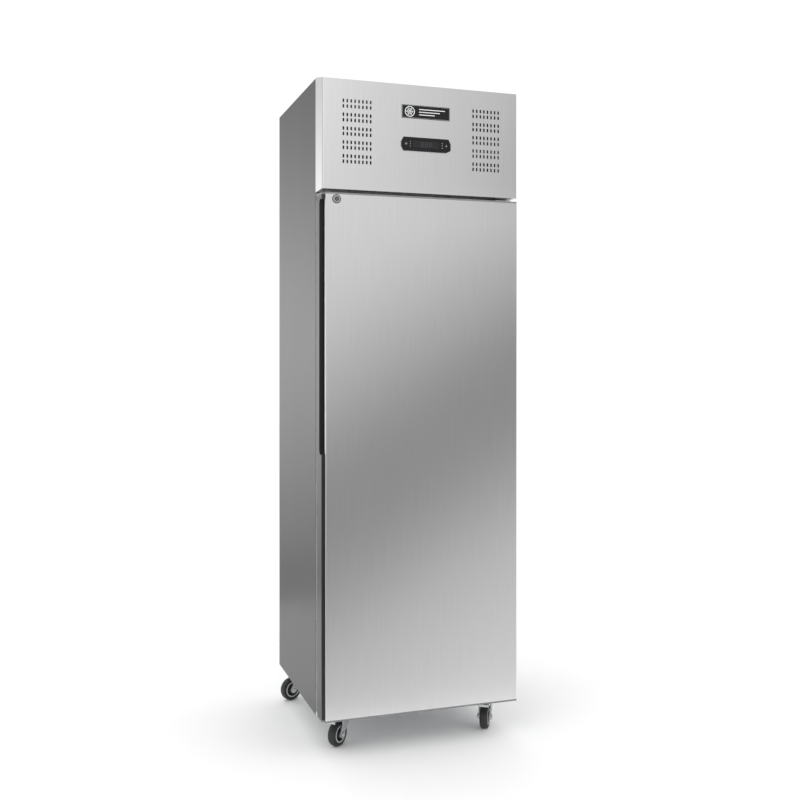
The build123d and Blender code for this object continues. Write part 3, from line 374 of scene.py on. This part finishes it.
def window_frame(bm, half_x, half_z, width, matrix, lift, bevel=0.0):
    """Four bars round a rectangle about the matrix's origin."""
    for x0, y0, x1, y1 in (
        (-half_x, half_z, half_x, half_z),
        (-half_x, -half_z, half_x, -half_z),
        (-half_x, -half_z, -half_x, half_z),
        (half_x, -half_z, half_x, half_z),
    ):
        extrude_outline(bm, bar_outline(x0, y0, x1, y1, width), matrix, lift, bevel)


def pan_screw(bm, place, axis, radius):
    """Pan head with a cross recess, standing on a surface."""
    matrix = facing(place, axis)
    height = radius * 0.62
    turn_profile(
        bm,
        [
            (radius, 0),
            (radius, height * 0.35),
            (radius * 0.86, height * 0.75),
            (radius * 0.55, height),
            (radius * 0.3, height),
            (radius * 0.22, height * 0.55),
            (0, height * 0.45),
        ],
        matrix,
        24,
    )
    for turn in (0, math.pi / 2):
        arm = matrix @ Matrix.Rotation(turn, 4, "Z")
        low = arm @ Matrix.Translation((0, 0, height * 0.9))
        bar = bar_outline(-radius * 0.5, 0, radius * 0.5, 0, radius * 0.13)
        extrude_outline(bm, bar, low, height * 0.12)


def hex_head(bm, place, axis, across, height, washer=0.0):
    """Hexagon head on a washer."""
    matrix = facing(place, axis)
    if washer:
        turn_profile(bm, [(0, 0), (washer, 0), (washer, height * 0.2), (0, height * 0.2)], matrix, 32)
    corner = across / math.sqrt(3)
    lifted = matrix @ Matrix.Translation((0, 0, height * 0.2 if washer else 0))
    extrude_outline(bm, disc_outline(corner, 6), lifted, height, height * 0.18)


# ---- Controls, badge and lock -------------------------------------------------------------------

def middle(node):
    low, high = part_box(node)
    return (low + high) / 2


FRONT = Vector((0, -1, 0))


def front_plane(x, y, z):
    """Matrix on a front face: local X to the right, local Y up, local Z towards the viewer."""
    return Matrix.Translation((x, y, z)) @ Matrix.Rotation(math.pi / 2, 4, "X")


def make_badge():
    """Plain mark on the badge plate: a snowflake in a ring and three level bars."""
    low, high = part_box("badge_plate")
    centre = (low + high) / 2
    bm = bmesh.new()
    height = high.z - low.z
    radius = height * 0.39
    bore = radius * 0.87
    lift = 0.35 * MM
    face = front_plane(low.x + height * 0.62, low.y, centre.z)
    turn_profile(
        bm,
        [(radius, 0), (radius, lift), (bore, lift), (bore, 0), (radius, 0)],
        face,
        64,
    )
    for arm in range(6):
        spoke = face @ Matrix.Rotation(math.pi * arm / 3, 4, "Z")
        extrude_outline(bm, bar_outline(0, 0, radius * 0.72, 0, radius * 0.12), spoke, lift)
        for side in (-1, 1):
            for start, reach in ((0.34, 0.2), (0.54, 0.15)):
                tip = (radius * (start + reach * 0.8), side * radius * reach)
                extrude_outline(bm, bar_outline(radius * start, 0, *tip, radius * 0.09), spoke, lift)
    bars_x = low.x + height * 1.35
    for row, share in enumerate((1.0, 0.8, 0.6)):
        length = (high.x - bars_x - height * 0.4) * share
        level = (1 - row) * height * 0.2
        bar = front_plane(bars_x, low.y, centre.z + level)
        extrude_outline(bm, bar_outline(0, 0, length, 0, height * 0.055), bar, lift)
    add_piece("badge_mark", bm, MARK_WHITE, "cabinet")
    rim = bmesh.new()
    inset = 1.6 * MM
    plate = front_plane(centre.x, low.y, centre.z)
    half_x = (high.x - low.x) / 2 - inset
    window_frame(rim, half_x, height / 2 - inset, 0.5 * MM, plate, 0.2 * MM)
    add_piece("badge_border", rim, RING_GREY, "cabinet")


def make_controller_details():
    """Raised window frame, indicator lenses, unlit digits and the buttons' symbols."""
    low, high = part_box("controller_display")
    bezel_low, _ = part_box("controller_bezel")
    centre = (low + high) / 2
    bm = bmesh.new()
    plate = front_plane(centre.x, low.y, centre.z)
    half_x = (high.x - low.x) / 2
    half_z = (high.z - low.z) / 2
    window_frame(bm, half_x, half_z, 0.9 * MM, plate, 0.35 * MM, 0.1 * MM)
    add_piece("display_frame", bm, FINISHES["gloss_black"], "cabinet")

    lenses = bmesh.new()
    lens_aside = half_x + 9 * MM
    lens_pitch = 7 * MM
    lens = [(0, 0), (1.1 * MM, 0), (1.0 * MM, 0.35 * MM), (0.5 * MM, 0.55 * MM), (0, 0.6 * MM)]
    for side in (-1, 1):
        for row in (-1, 0, 1):
            place = Vector((centre.x + side * lens_aside, bezel_low.y, centre.z + row * lens_pitch))
            turn_profile(lenses, lens, facing(place, FRONT), 20)
    add_piece("indicator_lenses", lenses, RING_GREY, "cabinet")

    segments = bmesh.new()
    digit_w = 7.5 * MM
    digit_h = 12 * MM
    digit_pitch = 13 * MM
    stroke = 1.2 * MM
    bars = (
        (-0.5, 1, 0.5, 1),
        (0.5, 1, 0.5, 0),
        (0.5, 0, 0.5, -1),
        (-0.5, -1, 0.5, -1),
        (-0.5, 0, -0.5, -1),
        (-0.5, 1, -0.5, 0),
        (-0.5, 0, 0.5, 0),
    )
    for column in (-1, 0, 1):
        digit = front_plane(centre.x + column * digit_pitch, low.y, centre.z)
        for x0, y0, x1, y1 in bars:
            ends = (x0 * digit_w, y0 * digit_h / 2, x1 * digit_w, y1 * digit_h / 2)
            extrude_outline(segments, bar_outline(*ends, stroke), digit, PRINT_LIFT)
    add_piece("display_segments", segments, FINISHES["button_plastic"], "cabinet")

    for name in ("power_button", "set_button"):
        make_button_symbol(name)


def make_button_symbol(name):
    """Broken ring with a bar on the power button, a plus on the other."""
    button_low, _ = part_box(name)
    place = middle(name)
    face = front_plane(place.x, button_low.y, place.z)
    symbol = bmesh.new()
    radius = 2.3 * MM
    stroke = 0.5 * MM
    if name == "power_button":
        steps = 14
        turns = [math.radians(120 + step * 300 / steps) for step in range(steps + 1)]
        points = [(radius * math.cos(turn), radius * math.sin(turn)) for turn in turns]
        for start, end in zip(points, points[1:]):
            extrude_outline(symbol, bar_outline(*start, *end, stroke), face, PRINT_LIFT)
        bar = bar_outline(0, 0.3 * MM, 0, radius * 1.15, stroke)
        extrude_outline(symbol, bar, face, PRINT_LIFT)
    else:
        bar = bar_outline(-radius * 0.8, 0, radius * 0.8, 0, stroke)
        for turn in (0, math.pi / 2):
            extrude_outline(symbol, bar, face @ Matrix.Rotation(turn, 4, "Z"), PRINT_LIFT)
    add_piece(f"{name}_symbol", symbol, MARK_WHITE, name)


def make_lock_face():
    """Raised ring and dark seat round the lock body, and the keyway's edges on the plug."""
    body_low, body_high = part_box("lock_body")
    centre = (body_low + body_high) / 2
    bm = bmesh.new()
    front = Vector((centre.x, body_low.y, centre.z))
    turn_profile(
        bm,
        [(8.6 * MM, 0), (8.4 * MM, 0.35 * MM), (7.4 * MM, 0.35 * MM), (7.2 * MM, 0), (8.6 * MM, 0)],
        facing(front, FRONT),
        64,
    )
    add_piece("lock_ring", bm, FINISHES["chrome"], "door")
    plug_low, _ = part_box("lock_plug")
    key = bmesh.new()
    face = front_plane(centre.x, plug_low.y, centre.z)
    for side in (-1, 1):
        edge = (side * 1.15 * MM, -4.2 * MM, side * 1.15 * MM, 4.2 * MM)
        extrude_outline(key, bar_outline(*edge, 0.5 * MM), face, 0.25 * MM, 0.08 * MM)
    add_piece("keyway_edges", key, FINISHES["chrome"], "lock_plug")
    seat = bmesh.new()
    skin_low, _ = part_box("door_skin")
    turn_profile(
        seat,
        [
            (9 * MM, 0),
            (13.4 * MM, 0),
            (13.1 * MM, 0.6 * MM),
            (12.2 * MM, 0.9 * MM),
            (9 * MM, 0.9 * MM),
            (9 * MM, 0),
        ],
        facing(Vector((centre.x, skin_low.y, centre.z)), FRONT),
        64,
    )
    add_piece("lock_seat", seat, FINISHES["rubber"], "door")


# ---- Door ---------------------------------------------------------------------------------------

def make_gasket():
    """Magnetic door seal: a ribbed bellows swept round the door with rounded corners."""
    low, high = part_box("door_gasket")
    depth = high.y - low.y
    width = 12 * MM
    profile = [
        (0.10, 0.00), (0.10, 0.10), (0.28, 0.14), (0.30, 0.22), (0.06, 0.30), (0.00, 0.38), (0.06, 0.46),
        (0.24, 0.52), (0.24, 0.58), (0.04, 0.64), (0.00, 0.72), (0.00, 0.90), (0.06, 0.97), (0.16, 1.00),
        (0.84, 1.00), (0.94, 0.97), (1.00, 0.90), (1.00, 0.72), (0.96, 0.64), (0.76, 0.58), (0.76, 0.52),
        (0.94, 0.46), (1.00, 0.38), (0.94, 0.30), (0.70, 0.22), (0.72, 0.14), (0.90, 0.10), (0.90, 0.00),
    ]
    corner = 6 * MM
    steps = 8
    bm = bmesh.new()
    rings = []
    for index, (side_x, side_z) in enumerate(((1, 1), (-1, 1), (-1, -1), (1, -1))):
        for step in range(steps + 1):
            turn = math.pi / 2 * (index + step / steps)
            ring = []
            for across, out in profile:
                inset = across * width
                radius = max(corner - inset, 0.4 * MM)
                centre_x = high.x - inset - radius if side_x > 0 else low.x + inset + radius
                centre_z = high.z - inset - radius if side_z > 0 else low.z + inset + radius
                x = centre_x + radius * math.cos(turn)
                z = centre_z + radius * math.sin(turn)
                ring.append(bm.verts.new((x, low.y + out * depth, z)))
            rings.append(ring)
    for a, b in zip(rings, rings[1:] + rings[:1]):
        for i in range(len(profile)):
            j = (i + 1) % len(profile)
            bm.faces.new((a[i], a[j], b[j], b[i]))
    seal = add_piece("door_seal", bm, FINISHES["gasket"], "door", smooth=50)
    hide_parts("door_gasket")


def make_hinge_screws():
    """Pan screws in both hinge brackets."""
    plate = 4 * MM
    below_top = 9 * MM
    for node, count in (("top_hinge_bracket", 3), ("bottom_hinge_bracket", 2)):
        low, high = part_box(node)
        bm = bmesh.new()
        for step in range(count):
            x = low.x + (high.x - low.x) * (step + 0.5) / count
            pan_screw(bm, (x, high.y - plate, high.z - below_top), FRONT, 3.2 * MM)
        add_piece(f"{node}_screws", bm, SCREW_STEEL, "cabinet")


# ---- Casters ------------------------------------------------------------------------------------

def wheel_matrix(corner):
    """Local +Z along the axle, with the origin at the wheel's centre."""
    roll = joints[f"roll_{corner}"]
    return facing(Vector(roll["pos_m"]), roll["axis"])


def both_sides(matrix):
    """The wheel's matrix, and the same one facing the other way along the axle."""
    return [matrix @ Matrix.Rotation(turn, 4, "X") for turn in (0, math.pi)]


def mirrored(half_profile, half):
    """Closed profile from (radius, share of the half width) points on one side of the middle."""
    near = [(radius, half * share) for radius, share in half_profile]
    far = [(radius, -half * share) for radius, share in reversed(half_profile)]
    return near + far + near[:1]


def make_tyre(corner):
    """Tyre with a crowned tread, a moulded step on each wall and a fine parting line."""
    wall = [
        (RIM_RADIUS, 0.80),
        (RIM_RADIUS + 1.2 * MM, 1.00),
        (RIM_RADIUS + 3.0 * MM, 1.00),
        (RIM_RADIUS + 3.6 * MM, 0.93),
        (RIM_RADIUS + 6.2 * MM, 0.93),
        (RIM_RADIUS + 6.8 * MM, 0.99),
        (RIM_RADIUS + 8.4 * MM, 0.92),
        (WHEEL_RADIUS - 1.9 * MM, 0.78),
        (WHEEL_RADIUS - 0.9 * MM, 0.58),
        (WHEEL_RADIUS - 0.25 * MM, 0.3),
        (WHEEL_RADIUS - 0.05 * MM, 0.05),
        (WHEEL_RADIUS, 0.02),
    ]
    bm = bmesh.new()
    turn_profile(bm, mirrored(wall, TYRE_HALF), wheel_matrix(corner), 96)
    tyre = add_piece(f"tread_{corner}", bm, FINISHES["tyre"], f"wheel_{corner}", smooth=30)
    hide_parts(f"tyre_{corner}")


def make_wheel_core(corner):
    """Dished plastic core with ribs, a pale ring at its rim, and a bearing with its seal."""
    matrix = wheel_matrix(corner)
    dish = [
        (6.3 * MM, 1.10),
        (10.5 * MM, 1.10),
        (11.2 * MM, 1.04),
        (11.6 * MM, 0.50),
        (13.0 * MM, 0.42),
        (20.0 * MM, 0.42),
        (21.2 * MM, 0.55),
        (21.8 * MM, 0.86),
        (RIM_RADIUS, 0.90),
        (RIM_RADIUS, 0.78),
    ]
    core = bmesh.new()
    turn_profile(core, mirrored(dish, TYRE_HALF), matrix, 96)
    ribs = 8
    rib_height = TYRE_HALF * 0.78
    rib_bar = bar_outline(11 * MM, 0, 21.6 * MM, 0, 1.4 * MM)
    for base in (-rib_height, 0):
        for rib in range(ribs):
            turn = matrix @ Matrix.Rotation(2 * math.pi * rib / ribs, 4, "Z")
            extrude_outline(core, rib_bar, turn @ Matrix.Translation((0, 0, base)), rib_height)
    web = add_piece(f"wheel_{corner}_web", core, FINISHES["wheel_grey"], f"wheel_{corner}")
    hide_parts(f"wheel_core_{corner}")
    rings = bmesh.new()
    pale_ring = [
        (22 * MM, 0),
        (22.2 * MM, 1.5 * MM),
        (22.8 * MM, 2.0 * MM),
        (24.6 * MM, 2.0 * MM),
        (25.2 * MM, 1.5 * MM),
        (25.4 * MM, 0),
        (22 * MM, 0),
    ]
    for side in both_sides(matrix):
        turn_profile(rings, pale_ring, side @ Matrix.Translation((0, 0, TYRE_HALF * 0.86)), 96)
    add_piece(f"wheel_{corner}_rings", rings, RING_GREY, f"wheel_{corner}")
    bearing = bmesh.new()
    seal = [(6.4 * MM, 0), (6.4 * MM, 0.6 * MM), (9.2 * MM, 0.6 * MM), (9.8 * MM, 0), (6.4 * MM, 0)]
    for side in both_sides(matrix):
        turn_profile(bearing, seal, side @ Matrix.Translation((0, 0, TYRE_HALF * 1.1)), 48)
    add_piece(f"wheel_{corner}_seals", bearing, SCREW_STEEL, f"wheel_{corner}")


def make_axle_ends(corner):
    """Domed nut and washer over each end of the axle, which turn with the fork."""
    washer = [(0, 0), (10.5 * MM, 0), (10.5 * MM, 0.9 * MM), (9.9 * MM, 1.2 * MM), (0, 1.2 * MM)]
    dome = [
        (0, 0),
        (6.9 * MM, 0),
        (6.6 * MM, 0.8 * MM),
        (5.0 * MM, 1.9 * MM),
        (2.6 * MM, 2.5 * MM),
        (0, 2.7 * MM),
    ]
    head_height = 4 * MM
    bm = bmesh.new()
    for side in both_sides(wheel_matrix(corner)):
        end = side @ Matrix.Translation((0, 0, LEG_FACE))
        turn_profile(bm, washer, end, 40)
        turn_profile(bm, dome, end @ Matrix.Translation((0, 0, head_height)), 40)
    add_piece(f"fork_{corner}_axle_ends", bm, SCREW_STEEL, f"fork_{corner}")


def make_fork_details(corner):
    """Cup and race of the swivel bearing, and beads down the edges of the fork's legs."""
    swivel = Vector(joints[f"swivel_{corner}"]["pos_m"])
    _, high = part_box(f"fork_{corner}")
    cup_profile = [
        (20 * MM, 0),
        (24.5 * MM, 0),
        (25.5 * MM, 1.2 * MM),
        (25.5 * MM, 3.0 * MM),
        (24.6 * MM, 3.2 * MM),
        (24.4 * MM, 1.6 * MM),
        (20 * MM, 1.2 * MM),
        (20 * MM, 0),
    ]
    cup = bmesh.new()
    turn_profile(cup, cup_profile, Matrix.Translation((swivel.x, swivel.y, high.z - 3.2 * MM)), 64)
    add_piece(f"fork_{corner}_cup", cup, FINISHES["zinc_steel"], f"fork_{corner}")
    race_height = 7.7 * MM
    race_profile = [
        (24 * MM, 0),
        (26.5 * MM, 1.2 * MM),
        (27.5 * MM, 4.0 * MM),
        (28.5 * MM, race_height),
        (24 * MM, race_height),
        (24 * MM, 0),
    ]
    race = bmesh.new()
    turn_profile(race, race_profile, Matrix.Translation((swivel.x, swivel.y, high.z + 0.3 * MM)), 64)
    add_piece(f"caster_{corner}_race", race, FINISHES["zinc_steel"], "cabinet")
    legs = bmesh.new()
    roll = joints[f"roll_{corner}"]
    axle = Vector(roll["pos_m"])
    across = Vector(roll["axis"]).normalized()
    along = Vector((axle.x - swivel.x, axle.y - swivel.y, 0)).normalized()
    shoulder = Vector((swivel.x, swivel.y, high.z - 0.5 * MM))
    foot_rise = Vector((0, 0, 4 * MM))
    for side in (-1, 1):
        outward = across * side * LEG_FACE
        for top_reach, foot_reach in ((-15 * MM, -9.5 * MM), (19 * MM, 9.5 * MM)):
            top = shoulder + outward + along * top_reach
            foot = axle + outward + along * foot_reach + foot_rise
            bead(legs, top, foot, 1.1 * MM)
    add_piece(f"fork_{corner}_beads", legs, FINISHES["zinc_steel"], f"fork_{corner}")


def bead(bm, start, end, radius, sides=10):
    """Round rib between two points with domed ends."""
    axis = end - start
    length = axis.length
    profile = [(0, -radius)]
    steps = 4
    for step in range(1, steps + 1):
        turn = math.pi / 2 * (1 - step / steps)
        profile.append((radius * math.cos(turn), -radius * math.sin(turn)))
    for step in range(steps):
        turn = math.pi / 2 * step / steps
        profile.append((radius * math.cos(turn), length + radius * math.sin(turn)))
    profile.append((0, length + radius))
    turn_profile(bm, profile, facing(start, axis), sides)


def make_caster_bolts():
    """Hexagon bolts that hold the caster plates to the cabinet's base."""
    _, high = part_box("caster_plates")
    plate = 3 * MM
    aside = 23.5 * MM
    ahead = 32 * MM
    bm = bmesh.new()
    for corner in CORNERS:
        swivel = Vector(joints[f"swivel_{corner}"]["pos_m"])
        for side_x in (-1, 1):
            for side_y in (-1, 1):
                place = (swivel.x + side_x * aside, swivel.y + side_y * ahead, high.z - plate)
                hex_head(bm, place, (0, 0, -1), 10 * MM, 5 * MM, washer=7.5 * MM)
    add_piece("caster_bolts", bm, SCREW_STEEL, "cabinet")


def make_pedal_details(corner):
    """Raised strips across the brake pedal, and the heads of its pin."""
    brake = joints[f"brake_{corner}"]
    pin = Vector(brake["pos_m"])
    across = Vector(brake["axis"]).normalized()
    swivel = Vector(joints[f"swivel_{corner}"]["pos_m"])
    along = Vector((pin.x - swivel.x, pin.y - swivel.y, 0)).normalized()
    bm = bmesh.new()
    tread_start = 13 * MM
    tread_rise = 4.6 * MM
    tread_slope = 4.5 / 44
    half_grip = across * 14 * MM
    for step in range(4):
        reach = (24 + 8 * step) * MM
        rise = tread_rise - (reach - tread_start) * tread_slope
        centre = pin + along * reach + Vector((0, 0, rise))
        bead(bm, centre - half_grip, centre + half_grip, 1.0 * MM)
    add_piece(f"pedal_{corner}_grips", bm, FINISHES["zinc_steel"], f"pedal_{corner}")
    pins = bmesh.new()
    head = [(0, 0), (4.6 * MM, 0), (4.4 * MM, 0.8 * MM), (2.6 * MM, 1.5 * MM), (0, 1.7 * MM)]
    for side in (-1, 1):
        turn_profile(pins, head, facing(pin + across * side * LEG_FACE, across * side), 28)
    add_piece(f"pedal_{corner}_pin_heads", pins, SCREW_STEEL, f"pedal_{corner}")


# ---- Cabinet details ----------------------------------------------------------------------------

def make_back_screws():
    """Screws along the edges of the back sheet."""
    low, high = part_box("back_panel")
    edge = 14 * MM
    end = 30 * MM
    head = 3.6 * MM
    rows = 8
    columns = 4
    bm = bmesh.new()
    for row in range(rows):
        level = low.z + end + (high.z - low.z - 2 * end) * row / (rows - 1)
        for x in (low.x + edge, high.x - edge):
            pan_screw(bm, (x, high.y, level), (0, 1, 0), head)
    for column in range(1, columns):
        x = low.x + (high.x - low.x) * column / columns
        for level in (low.z + edge, high.z - edge):
            pan_screw(bm, (x, high.y, level), (0, 1, 0), head)
    add_piece("back_screws", bm, SCREW_STEEL, "cabinet")


def make_fan_guard(name, centre, radius, axis):
    """Wire guard: rings and spokes with a round centre plate."""
    matrix = facing(centre, axis)
    wire = 1.1 * MM
    bm = bmesh.new()
    section = disc_outline(wire, 8)
    for share in (0.3, 0.48, 0.66, 0.84, 1.0):
        ring = [(radius * share + x, y) for x, y in section]
        turn_profile(bm, ring + [ring[0]], matrix, 64)
    for spoke in range(6):
        turn = math.pi * spoke / 3
        out = Vector((math.cos(turn), math.sin(turn), 0))
        lift = Vector((0, 0, -wire * 1.6))
        bead(bm, matrix @ (out * radius * 0.12 + lift), matrix @ (out * radius * 1.04 + lift), wire)
    hub = radius * 0.2
    turn_profile(bm, [(0, -1 * MM), (hub, -1 * MM), (hub, 0.4 * MM), (0, 0.8 * MM)], matrix, 40)
    add_piece(name, bm, FINISHES["coated_wire"], "cabinet")


def make_interior_details():
    """Guard over the evaporator's fan, and the screws of its cover."""
    low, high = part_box("evaporator_cover")
    fan_low, fan_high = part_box("evaporator_fan_blade")
    centre = (fan_low + fan_high) / 2
    radius = (fan_high.z - fan_low.z) / 2 + 4 * MM
    guard_y = low.y - 2.2 * MM
    make_fan_guard("evaporator_fan_guard", Vector((centre.x, guard_y, centre.z)), radius, FRONT)
    edge = 9 * MM
    bm = bmesh.new()
    for x in (low.x + edge, high.x - edge):
        for z in (low.z + edge, high.z - edge):
            pan_screw(bm, (x, low.y, z), FRONT, 3.4 * MM)
    add_piece("evaporator_cover_screws", bm, SCREW_STEEL, "cabinet")


# ---- Stage, light and camera --------------------------------------------------------------------

CAMERA_PLACE = Vector((-1.0302, -3.155, 1.182))
CAMERA_YAW = 18.56            # degrees from straight on, seen from the cabinet's left
CAMERA_LENS = 45.48
CAMERA_SHIFT = -0.0565


def make_camera():
    camera = bpy.data.cameras.new("camera")
    camera.sensor_width = 36
    camera.lens = CAMERA_LENS
    camera.shift_y = CAMERA_SHIFT
    camera.clip_end = 60
    stand = bpy.data.objects.new("camera", camera)
    stand.location = CAMERA_PLACE
    stand.rotation_euler = (math.pi / 2, 0, -math.radians(CAMERA_YAW))
    bpy.context.scene.collection.objects.link(stand)
    bpy.context.scene.camera = stand


def stage_plane(name, corners, material):
    mesh = bpy.data.meshes.new(name)
    mesh.from_pydata(corners, [], [tuple(range(len(corners)))])
    plane = bpy.data.objects.new(name, mesh)
    mesh.materials.append(material)
    bpy.context.scene.collection.objects.link(plane)
    return plane


def reflector(name, corners, along, tones):
    """Soft card seen only in reflections, lit through (distance, tone) pairs along a direction."""
    material = bpy.data.materials.new(name)
    material.use_nodes = True
    tree = material.node_tree
    tree.nodes.clear()
    place = tree.nodes.new("ShaderNodeTexCoord")
    dot = tree.nodes.new("ShaderNodeVectorMath")
    dot.operation = "DOT_PRODUCT"
    dot.inputs[1].default_value = along
    tree.links.new(place.outputs["Object"], dot.inputs[0])
    start, end = tones[0][0], tones[-1][0]
    ranged = tree.nodes.new("ShaderNodeMapRange")
    ranged.inputs["From Min"].default_value = start
    ranged.inputs["From Max"].default_value = end
    tree.links.new(dot.outputs["Value"], ranged.inputs["Value"])
    ramp = tree.nodes.new("ShaderNodeValToRGB")
    ramp.color_ramp.interpolation = "B_SPLINE"
    elements = ramp.color_ramp.elements
    while len(elements) < len(tones):
        elements.new(0.5)
    brightest = max(tone for _, tone in tones)
    for element, (distance, tone) in zip(elements, tones):
        share = tone / brightest
        element.position = (distance - start) / (end - start)
        element.color = (share, share, share, 1)
    tree.links.new(ranged.outputs["Result"], ramp.inputs["Fac"])
    glow = tree.nodes.new("ShaderNodeEmission")
    tree.links.new(ramp.outputs["Color"], glow.inputs["Color"])
    glow.inputs["Strength"].default_value = brightest
    output = tree.nodes.new("ShaderNodeOutputMaterial")
    tree.links.new(glow.outputs["Emission"], output.inputs["Surface"])
    card = stage_plane(name, corners, material)
    card.visible_camera = False
    card.visible_diffuse = False
    card.visible_shadow = False
    card.visible_transmission = False


def make_reflectors():
    """Cards that give the steel its soft tones: a slanted dark band on the door, light at both ends."""
    front = -0.62
    seam = 1.714              # the door's card ends here and the fascia's begins
    reflector(
        "door_card",
        [(-1.6, front, 0.01), (2.2, front, 0.01), (2.2, front, seam), (-1.6, front, seam)],
        (-0.61, 0, 1),
        [
            (-0.3, 0.76),
            (-0.1, 0.73),
            (0.3, 0.56),
            (0.55, 0.37),
            (0.82, 0.28),
            (1.1, 0.40),
            (1.54, 0.80),
            (2.0, 0.80),
        ],
    )
    reflector(
        "fascia_card",
        [(-1.6, front, seam), (2.2, front, seam), (2.2, front, 3.2), (-1.6, front, 3.2)],
        (1, 0, -0.35),
        [(-1.6, 0.98), (-0.96, 0.93), (-0.83, 0.86), (-0.28, 0.58), (-0.15, 0.52), (0.6, 0.46)],
    )
    back = 1.6
    reflector(
        "side_card",
        [(-2.4, back, 0.0), (-0.36, back, 0.0), (-0.36, back, 3.2), (-2.4, back, 3.2)],
        (0, 0, 1),
        [(0.0, 0.68), (0.3, 0.68), (1.2, 1.85), (1.9, 1.15), (2.5, 0.66), (3.2, 0.66)],
    )


def make_lights():
    """White surroundings that reflect as grey, and three soft lamps given by place, size and watts."""
    world = bpy.data.worlds.new("studio")
    bpy.context.scene.world = world
    world.use_nodes = True
    tree = world.node_tree
    background = tree.nodes["Background"]
    background.inputs["Color"].default_value = (0.62, 0.63, 0.64, 1)
    background.inputs["Strength"].default_value = 1.0
    sky = tree.nodes.new("ShaderNodeBackground")
    sky.inputs["Color"].default_value = (1, 1, 1, 1)
    sky.inputs["Strength"].default_value = 1.04
    paths = tree.nodes.new("ShaderNodeLightPath")
    mix = tree.nodes.new("ShaderNodeMixShader")
    tree.links.new(paths.outputs["Is Glossy Ray"], mix.inputs["Fac"])
    tree.links.new(sky.outputs["Background"], mix.inputs[1])
    tree.links.new(background.outputs["Background"], mix.inputs[2])
    tree.links.new(mix.outputs["Shader"], tree.nodes["World Output"].inputs["Surface"])
    for name, place, size, power in (
        ("key", (-2.2, -2.6, 3.2), 2.2, 22),
        ("fill", (2.4, -2.8, 2.2), 2.0, 10),
        ("back", (0.4, 2.8, 3.0), 2.4, 14),
    ):
        light = bpy.data.lights.new(name, "AREA")
        light.size = size
        light.energy = power
        lamp = bpy.data.objects.new(name, light)
        lamp.location = place
        aim = Vector((0, 0, 0.9)) - Vector(place)
        lamp.rotation_euler = aim.to_track_quat("-Z", "Y").to_euler()
        lamp.visible_camera = False
        lamp.visible_glossy = False
        bpy.context.scene.collection.objects.link(lamp)


def make_floor():
    pale = bpy.data.materials.new("pale_floor")
    pale.use_nodes = True
    shader = pale.node_tree.nodes["Principled BSDF"]
    shader.inputs["Base Color"].default_value = (0.99, 0.99, 0.99, 1)
    shader.inputs["Roughness"].default_value = 0.8
    shader.inputs["Specular IOR Level"].default_value = 0.1
    reach = 14
    corners = [(-reach, -reach, 0), (reach, -reach, 0), (reach, reach, 0), (-reach, reach, 0)]
    stage_plane("floor", corners, pale)


dress_cad_nodes()
make_badge()
make_controller_details()
make_lock_face()
make_gasket()
make_hinge_screws()
for caster in CORNERS:
    make_tyre(caster)
    make_wheel_core(caster)
    make_axle_ends(caster)
    make_fork_details(caster)
for caster in BRAKED:
    make_pedal_details(caster)
make_caster_bolts()
make_back_screws()
make_interior_details()
make_camera()
make_reflectors()
make_lights()
make_floor()
bpy.context.scene.view_settings.view_transform = "Standard"
